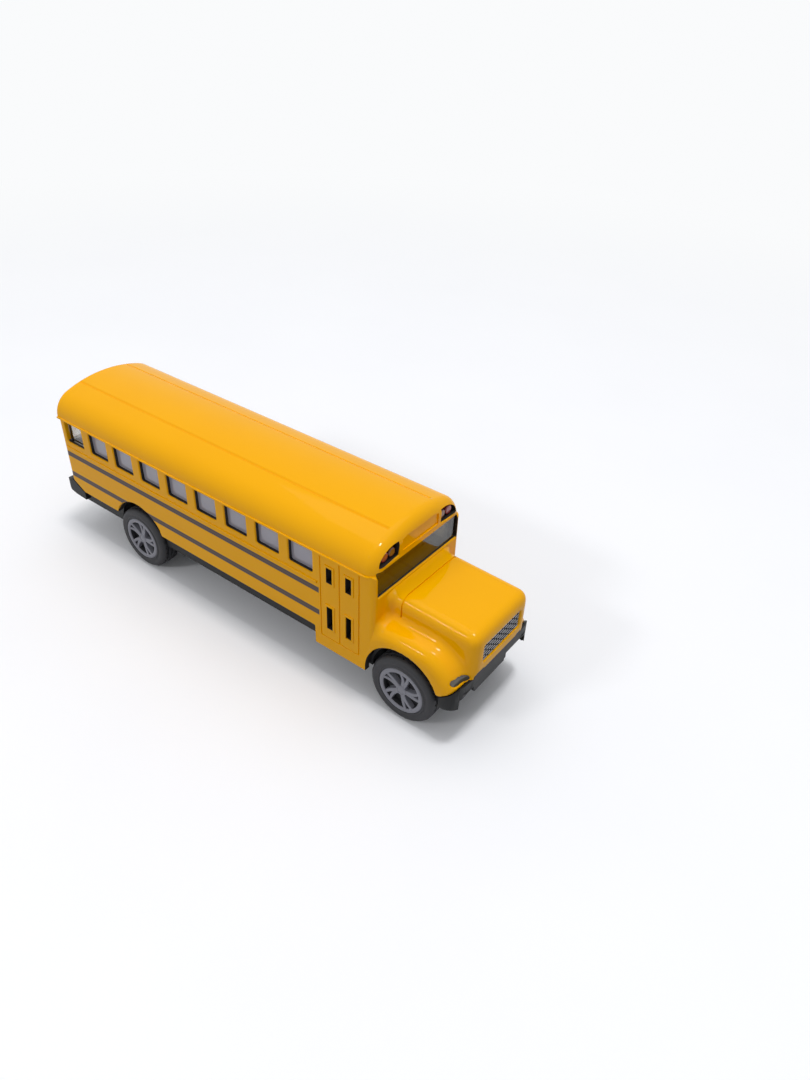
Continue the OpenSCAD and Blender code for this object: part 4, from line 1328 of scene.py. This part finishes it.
@dataclass
class Base:
    """Black plastic base with both bumpers and the wheel liners."""

    casting: Casting
    edge_r: float = 0.25
    seam: float = 0.12
    end_back_x: float = 60.6
    end_lap: float = 0.15
    bar_z: float = 14.5
    end_z: float = 13.2
    lobe_z: float = 10.2
    lobe_y: Flat = (13.4, 13.0)
    lobe_r: float = 0.6
    neck_y: float = 6.5
    bar_half: float = 8.85
    front_x: float = 64.4
    bow_x: float = 65.06
    apron_x: float = 61.75
    lip_x: float = 64.3
    lip_z: float = 16.7
    front_r: float = 3.2
    rear_x: float = -65.5
    rear_r: float = 2.4
    rear_z: Flat = (11.2, 16.0)
    rear_lap: float = 0.3
    rear_profile: tuple[Flat, ...] = ((-62.6, 15.75), (-64.4, 15.25), (-65.2, 14.8), (-65.5, 14.2),
                                      (-65.3, 13.4), (-64.5, 12.5), (-63.2, 11.9), (-61.4, 11.45))

    def front_bar(self, low: float) -> BMesh:
        """Builds the front bumper's bowed plan, drawn up to the casting's lower edges.

        Args:
            low: Height of its underside.

        Returns:
            The solid.
        """
        cast, y, half = self.casting, self.casting.at.side_y, self.bar_half
        outline = [(self.end_back_x, -y), (self.front_x, -y), (self.bow_x, -half), (self.bow_x, half),
                   (self.front_x, y), (self.end_back_x, y)]
        plan = prism(outline, Way.Z, low, cast.front_low_z, self.front_r, (1, 4), 12)
        shapes = (prism(cast.hem(self.seam), Way.Y, -BEYOND, BEYOND),
                  block((self.lip_x, -BEYOND, low), (BEYOND_X, BEYOND, self.lip_z)),
                  prism(cast.apron(self.seam), Way.X, self.apron_x, BEYOND_X))
        first, *others = [combine(plan.copy(), Cut.KEEP, shape) for shape in shapes]
        plan.free()
        return combine(first, Cut.JOIN, *others)

    def front_ends(self) -> BMesh:
        """Builds the front bumper's bar with the lobe that drops at each end.

        Returns:
            The solid.
        """
        cast, (low, high), out = self.casting, self.lobe_y, self.casting.at.side_y + OVER
        floor, top, back = cast.apron_z[0], cast.front_low_z, self.end_back_x - OVER
        lobe = mirrored(prism([(low, floor), (out, floor), (out, top), (high, top)], Way.X, back, BEYOND_X))
        lobe = combine(self.front_bar(self.lobe_z), Cut.KEEP, lobe)
        soften(lobe, edges_where(lobe, lambda p: p.z < self.lobe_z + NEAR, SHARP), self.lobe_r, 3)
        under = prism([(-out, self.end_z), (-high, self.end_z), (-self.bar_half, self.bar_z),
                       (self.bar_half, self.bar_z), (high, self.end_z), (out, self.end_z), (out, BEYOND),
                       (-out, BEYOND)], Way.X, back, BEYOND_X)
        return combine(combine(self.front_bar(self.end_z), Cut.KEEP, under), Cut.JOIN, lobe)

    def front_cut(self) -> BMesh:
        """Builds the solid that takes the CAD's plain bumper ends away."""
        x0, low = self.end_back_x - self.end_lap, self.bar_z - PROUD
        return mirrored(gather(block((x0, self.neck_y, 0), (BEYOND_X, BEYOND, low)),
                               block((x0, self.bar_half, low - NEAR), (BEYOND_X, BEYOND, BEYOND))))

    def rear_bar(self) -> BMesh:
        """Builds the outer skin of the rear bumper with rounded edges, under the casting's cut-off corners.

        Returns:
            The solid.
        """
        at, cut_x, (low, high) = self.casting.at, self.casting.corner_cut_x, self.rear_z
        inner = at.side_y - at.wall
        plan = rectangle(self.rear_x, cut_x, -at.side_y, at.side_y)
        bm = prism(plan, Way.Z, low, high, self.rear_r, (0, 3), 10)
        section = prism([(cut_x, low), (cut_x, at.skirt_z - self.seam), (at.rear_wall_x, high - self.seam),
                         *self.rear_profile], Way.Y, -BEYOND, BEYOND)
        hollow = block((at.rear_wall_x + self.rear_lap, -inner, 0), (cut_x + OVER, inner, BEYOND))
        return combine(combine(bm, Cut.KEEP, section), Cut.REMOVE, hollow)

    def rear_cut(self) -> BMesh:
        """Builds the solid that takes the CAD's plain rear bumper away, with its ends under the corners.

        Returns:
            The solids.
        """
        at, x1 = self.casting.at, self.casting.corner_cut_x + NEAR
        y, x0, low = at.side_y - at.wall + NEAR, at.rear_wall_x - NEAR, self.rear_z[0] - NEAR
        return gather(block((self.rear_x - OVER, -BEYOND, 0), (at.rear_wall_x, BEYOND, BEYOND)),
                      block((x0, y, low), (x1, BEYOND, BEYOND)), block((x0, -BEYOND, low), (x1, -y, BEYOND)))

    def build(self) -> Object:
        """Builds and dresses the base from the CAD solid, with fuller bumpers and rounded edges.

        Returns:
            The piece.
        """
        bm = copy_of("chassis_base")
        for cut, bar in ((self.front_cut(), self.front_ends()), (self.rear_cut(), self.rear_bar())):
            bm = combine(combine(bm, Cut.REMOVE, cut), Cut.JOIN, bar)
        merge_flat(bm)
        piece = finish_piece("moulded_base", bm, "bus", [BLACK_ABS], ["chassis_base"],
                             even=False)
        step = piece.modifiers.new("moulded edges", "BEVEL")
        step.width, step.segments, step.limit_method = self.edge_r * MM, 2, "ANGLE"
        step.angle_limit = math.radians(SHARP)
        step.use_clamp_overlap = True
        step.harden_normals = True
        return piece


@dataclass
class Wheel:
    """A rim with five twisted pairs of spokes, and its tyre, drawn about Z with the outer face at zero."""

    at: Layout
    axle_x: float
    side: Side
    body: str
    name: str
    out_y: float = 15.1
    width: float = 5.8
    tyre_r: float = 8.4
    rim_r: float = 5.8
    shoulder_r: float = 1.3
    shoulder_drop: float = 0.05
    bead: tuple[Flat, ...] = ((0.01, -0.12), (0.12, 0.0), (0.42, 0.02), (0.55, -0.16), (0.8, -0.18))
    groove_at: tuple[float, ...] = (0.3, 0.5, 0.7)
    groove: tuple[Flat, ...] = ((-0.25, 0.0), (-0.2, 0.35), (0.2, 0.35), (0.25, 0.0))
    notch_at: float = 1.25
    notch_half: float = 0.3
    notch_in: float = 0.16
    notch_depth: float = 0.22
    notch_every: int = 3
    bore_r: float = 1.02
    rim_lip: tuple[Flat, ...] = ((-0.01, -0.2), (-0.14, -0.06), (-0.3, 0.0))
    ring_r: float = 4.7
    ring_lip: tuple[Flat, ...] = ((0.2, -0.02), (0.05, -0.12), (0.0, -0.3))
    ring_draft: float = 0.06
    hub_r: float = 1.35
    hub_rise: float = 0.1
    hub_steps: tuple[Flat, ...] = ((0.3, 0.0), (0.08, -0.14), (0.25, 0.1))
    hub_edge_r: float = 0.15
    pocket: float = 1.5
    dish: float = 0.3
    pairs: int = 5
    spoke_r: float = 0.81
    spoke_lap: float = 0.1
    spoke_w: float = 0.9
    spoke_taper: Flat = (1.12, 0.3)
    spoke_edge_r: float = 0.18
    spoke_rise: float = 0.18
    splay: float = 11.0
    splay_share: Flat = (0.45, 0.55)
    swirl: float = 9.0
    steps: int = 96

    def put_on_axle(self, bm: BMesh) -> None:
        """Turns a wheel piece that is drawn about Z onto its axle's end."""
        turn = Matrix.Rotation(-self.side.value * math.pi / 2, 3, "X")
        place = (self.axle_x, self.side.value * self.out_y, self.at.axle_z)
        bmesh.ops.rotate(bm, verts=bm.verts[:], cent=(0, 0, 0), matrix=turn)
        bmesh.ops.translate(bm, verts=bm.verts[:], vec=place)

    def turned(self, outline: list[Flat]) -> BMesh:
        """Spins a closed outline round the wheel's axis.

        Args:
            outline: Points as radius and height.

        Returns:
            The turned solid.
        """
        bm = bmesh.new()
        verts = [bm.verts.new((r, 0, h)) for r, h in outline]
        edges = [bm.edges.new((verts[i], verts[(i + 1) % len(verts)])) for i in range(len(verts))]
        bmesh.ops.spin(bm, geom=verts + edges, cent=(0, 0, 0), axis=(0, 0, 1), angle=2 * math.pi,
                       steps=self.steps, use_merge=True)
        bmesh.ops.remove_doubles(bm, verts=bm.verts[:], dist=MERGE)
        bmesh.ops.recalc_face_normals(bm, faces=bm.faces[:])
        return bm

    def is_notch(self, face: BMFace) -> bool:
        """Says whether a face of the tread's shoulders becomes a notch.

        Args:
            face: A face of the plain tyre.

        Returns:
            True for every third face round each shoulder.
        """
        place = face.calc_center_median()
        away = min(abs(place.z + self.notch_at), abs(place.z + self.width - self.notch_at))
        if math.hypot(place.x, place.y) <= self.tyre_r - self.notch_in or away >= self.notch_half:
            return False
        slot = int((math.degrees(math.atan2(place.y, place.x)) % 360) / (360 / self.steps))
        return slot % self.notch_every == 0

    def tyre(self) -> BMesh:
        """Builds the tyre with a bead ring, rounded shoulders, tread grooves and shoulder notches.

        Returns:
            The solid, on its axle.
        """
        w, r, s, drop = self.width, self.tyre_r, self.shoulder_r, self.shoulder_drop
        turns = [math.radians(90 - turn) for turn in (20, 40, 60, 80)]
        outline = [(self.rim_r + self.bead[0][0], -w), *[(self.rim_r + a, h) for a, h in self.bead],
                   (r - s, -drop)]
        outline += [(r - s + s * math.cos(a), -s + (s - drop) * math.sin(a)) for a in turns]
        outline += [(r - depth, -w * share - edge) for share in self.groove_at for edge, depth in self.groove]
        outline += [(r - s + s * math.cos(a), -w + s - s * math.sin(a)) for a in (*turns[::-1], math.pi / 2)]
        bm = self.turned(outline)
        notches = [face for face in bm.faces if self.is_notch(face)]
        for face in bmesh.ops.extrude_discrete_faces(bm, faces=notches)["faces"]:
            out = face.calc_center_median()
            out.z = 0
            bmesh.ops.translate(bm, verts=face.verts[:], vec=-out.normalized() * self.notch_depth)
        self.put_on_axle(bm)
        return bm

    def rim(self) -> BMesh:
        """Builds the rim with its ring, hub cap and twisted spokes.

        Returns:
            The solids.
        """
        w, pocket, bore = self.width, self.pocket, self.bore_r
        barrel = self.turned([(bore, -w), (self.rim_r + self.rim_lip[0][0], -w),
                              *[(self.rim_r + a, h) for a, h in self.rim_lip],
                              *[(self.ring_r + a, h) for a, h in self.ring_lip],
                              (self.ring_r - self.ring_draft, -pocket), (bore, -pocket)])
        hub = rod(Way.Z, (0, 0), self.hub_r, -pocket - PROUD, self.hub_rise - self.dish, 40)
        step_in(hub, max(hub.faces, key=lambda f: f.calc_center_median().z), self.hub_steps)
        rim = edges_where(hub, lambda p: p.z > -self.dish and math.hypot(p.x, p.y) > self.hub_r - NEAR)
        soften(hub, rim, self.hub_edge_r, 2)
        return gather(barrel, hub, *[self.spoke(i, k) for i in range(self.pairs) for k in (-1, 1)])

    def spoke(self, index: int, way: int) -> BMesh:
        """Builds one spoke, tapered, rounded and curved in the direction of its pair.

        Args:
            index: The pair.
            way: Which of the pair, -1 or 1.

        Returns:
            The spoke.
        """
        r0, r1 = self.spoke_r, self.ring_r + self.spoke_lap
        bm = block((r0, -self.spoke_w / 2, -self.pocket - PROUD), (r1, self.spoke_w / 2, -self.dish))
        bmesh.ops.subdivide_edges(bm, edges=[e for e in bm.edges if span(e, Way.X) > NEAR], cuts=8)
        upper = edges_where(bm, lambda p: p.z > -self.dish - NEAR, SHARP)
        soften(bm, [e for e in upper if span(e, Way.X) > NEAR], self.spoke_edge_r, 3)
        base, (fixed, gain), (wide, taper) = math.tau * index / self.pairs, self.splay_share, self.spoke_taper
        for v in bm.verts:
            share = (v.co.x - r0) / (r1 - r0)
            lean = way * self.splay * (fixed + gain * share) + self.swirl * share * share
            turn = base + math.radians(lean) * -self.side.value
            r, y = v.co.x, v.co.y * (wide - taper * share)
            v.co.z += self.spoke_rise * share * share
            v.co.x, v.co.y = r * math.cos(turn) - y * math.sin(turn), r * math.sin(turn) + y * math.cos(turn)
        bmesh.ops.recalc_face_normals(bm, faces=bm.faces[:])
        return bm

    def is_pocket(self, face: BMFace) -> bool:
        """Says whether a face is the floor or wall of the pocket behind the spokes.

        Args:
            face: A face of the rim, before it is put on its axle.

        Returns:
            True for the pocket.
        """
        place = face.calc_center_median()
        away = math.hypot(place.x, place.y)
        if place.z < -self.pocket + 2 * NEAR:
            return away < self.ring_r
        return place.z < self.ring_lip[-1][1] - PROUD and abs(away - self.ring_r) < 2 * PROUD

    def build(self) -> None:
        """Builds and dresses the tyre and the rim."""
        finish_piece(f"{self.name}_tyre_tread", self.tyre(), self.body, [TYRE_PVC],
                     [f"{self.name}_tyre"], crease=50, even=False)
        bm = self.rim()
        # The pockets' floor and wall take the painted shade
        for face in bm.faces:
            face.material_index = int(self.is_pocket(face))
        self.put_on_axle(bm)
        finish_piece(f"{self.name}_rim_spokes", bm, self.body, [RIM_STYRENE, RIM_SHADOW],
                     [f"{self.name}_rim"])


@dataclass
class Fittings:
    """CAD pieces whose shapes stay, with better materials."""

    finishes: dict[str, Finish] = field(default_factory=lambda: {
        "front_axle": STEEL, "rear_axle": STEEL, "chassis_screws": STEEL, "gear_pins": STEEL,
        "mainspring": SPRING_STEEL, "motor_case_left": MOTOR_ABS, "motor_case_right": MOTOR_ABS,
        "axle_gear": GEAR_ACETAL, "idler_gear": GEAR_ACETAL, "spring_gear": GEAR_ACETAL})

    def dress(self) -> None:
        """Gives each CAD piece its finish."""
        for node, finish in self.finishes.items():
            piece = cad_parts[node]
            piece.data.materials.clear()
            piece.data.materials.append(finish.make())
            log.info("%s: CAD shape, %s", node, finish.name)


@dataclass(frozen=True)
class Lamp:
    """A soft rectangular lamp, with its place and sizes in millimetres and its power in watts."""

    name: str
    place: Point
    size: Flat
    power: float

    def hang(self, aim: Point) -> None:
        """Hangs the lamp.

        Args:
            aim: The place that it points at.
        """
        data = bpy.data.lights.new(self.name, "AREA")
        data.energy, data.shape = self.power, "RECTANGLE"
        data.size, data.size_y = self.size[0] * MM, self.size[1] * MM
        lamp = bpy.data.objects.new(self.name, data)
        lamp.location = Vector(self.place) * MM
        lamp.rotation_euler = (Vector(aim) - Vector(self.place)).to_track_quat("-Z", "Y").to_euler()
        bpy.context.scene.collection.objects.link(lamp)


@dataclass
class Studio:
    """Floor, light and the camera at the photograph's angle."""

    eye: Point = (121.55, -114.99, 138.61)
    yaw: float = 2.191
    pitch: float = -0.634
    roll: float = 0.047
    lens: float = 27.377
    sensor: float = 36.0
    clip_m: Flat = (0.005, 20.0)
    floor_half: float = 1500.0
    floor_tone: str = "#f9fafd"
    floor_shade: str = "#f4f5f9"
    floor_rough: float = 0.7
    bounce_tone: str = "#a4a6ac"
    room_tone: str = "#fbfcfd"
    room_level: Flat = (0.45, 0.99)
    fade: Flat = (130.0, 460.0)
    # The paper's unevenness is drawn coarser than its fibres, which are too fine to see from here
    uneven_mm: float = 60.0
    aim: Point = (0.0, 0.0, 20.0)
    lamps: tuple[Lamp, ...] = (Lamp("overhead", (-120.0, 180.0, 1250.0), (1100.0, 1100.0), 4.2),
                               Lamp("softbox", (160.0, 10.0, 1100.0), (190.0, 150.0), 4.0),
                               Lamp("side softbox", (-340.0, -920.0, 690.0), (240.0, 100.0), 2.2))

    def camera(self) -> None:
        """Places the camera."""
        level = math.cos(self.pitch)
        ahead = Vector((math.cos(self.yaw) * level, math.sin(self.yaw) * level, math.sin(self.pitch)))
        right = Vector((math.sin(self.yaw), -math.cos(self.yaw), 0))
        up = right.cross(ahead)
        across = math.cos(self.roll) * right + math.sin(self.roll) * up
        above = math.cos(self.roll) * up - math.sin(self.roll) * right
        data = bpy.data.cameras.new("camera")
        data.lens, data.sensor_width, data.sensor_fit = self.lens, self.sensor, "AUTO"
        data.clip_start, data.clip_end = self.clip_m
        camera = bpy.data.objects.new("camera", data)
        bpy.context.scene.collection.objects.link(camera)
        turn = Matrix((across, above, -ahead)).transposed().to_4x4()
        camera.matrix_world = Matrix.Translation(Vector(self.eye) * MM) @ turn
        bpy.context.scene.camera = camera

    def seen(self, tree: NodeTree) -> NodeSocket:
        """Says in a node tree whether a ray shows its end to the camera, if need be by a mirror or a pane.

        Args:
            tree: The node tree.

        Returns:
            An output socket that is 1 for such a ray and 0 for others.
        """
        path = put(tree, "ShaderNodeLightPath").outputs
        mirrored_too = reckon(tree, "MAXIMUM", path["Is Camera Ray"], path["Is Glossy Ray"])
        return reckon(tree, "MAXIMUM", mirrored_too, path["Is Transmission Ray"])

    def floor(self) -> None:
        """Lays the pale floor, whose far part fades into the white of the room."""
        bm = bmesh.new()
        bmesh.ops.create_grid(bm, x_segments=1, y_segments=1, size=self.floor_half * MM)
        floor = plain_object("floor", bm)
        material = bpy.data.materials.new("pale paper floor")
        tree = fresh(material)
        place = put(tree, "ShaderNodeTexCoord").outputs["Object"]
        seen = self.seen(tree)
        paper = blend(tree, noise(tree, place, self.uneven_mm, 3.0), self.floor_tone, self.floor_shade)
        # The floor throws back less light than it shows, so that the bus's sides stay in shade
        tone = blend(tree, seen, self.bounce_tone, paper)
        skin = put(tree, "ShaderNodeBsdfPrincipled", {"Roughness": self.floor_rough}, {"Base Color": tone})
        away = put(tree, "ShaderNodeVectorMath", {"operation": "LENGTH"}, {0: place}).outputs["Value"]
        far = ramp(tree, away, (self.fade[0] * MM, self.fade[1] * MM), curve="SMOOTHSTEP")
        glow = put(tree, "ShaderNodeEmission",
                   {"Color": srgb(self.room_tone), "Strength": self.room_level[1]})
        both = put(tree, "ShaderNodeMixShader", links={0: reckon(tree, "MULTIPLY", far, seen),
                                                       1: skin.outputs["BSDF"], 2: glow.outputs["Emission"]})
        put(tree, "ShaderNodeOutputMaterial", links={"Surface": both.outputs["Shader"]})
        floor.data.materials.append(material)

    def light(self) -> None:
        """Hangs the soft lamps and sets the world."""
        for lamp in self.lamps:
            lamp.hang(self.aim)
        world = bpy.data.worlds.new("white room")
        bpy.context.scene.world = world
        tree = fresh(world)
        level = ramp(tree, self.seen(tree), target=self.room_level)
        sky = put(tree, "ShaderNodeBackground", {"Color": srgb(self.room_tone)}, {"Strength": level})
        put(tree, "ShaderNodeOutputWorld", links={"Surface": sky.outputs["Background"]})

    def build(self) -> None:
        """Builds the studio."""
        self.camera()
        self.floor()
        self.light()
        view = bpy.context.scene.view_settings
        view.view_transform = "Standard"


def main() -> None:
    """Builds the studio and the bus in order."""
    logging.basicConfig(level=logging.INFO, format="%(name)s: %(message)s")
    Studio().build()
    at = Layout()
    casting = Casting(at)
    pieces = (casting, Glazing(casting), HeaderLamps(at), Grille(casting), Headlamps(casting), TailLamps(at),
              Base(casting))
    for piece in pieces:
        piece.build()
    for name, x in (("front", at.front_axle_x), ("rear", at.rear_axle_x)):
        for side in Side:
            Wheel(at, x, side, f"{name}_wheels", f"{name}_{side.name.lower()}").build()
    Fittings().dress()
    casting.form.free()


if __name__ == "__main__":
    main()
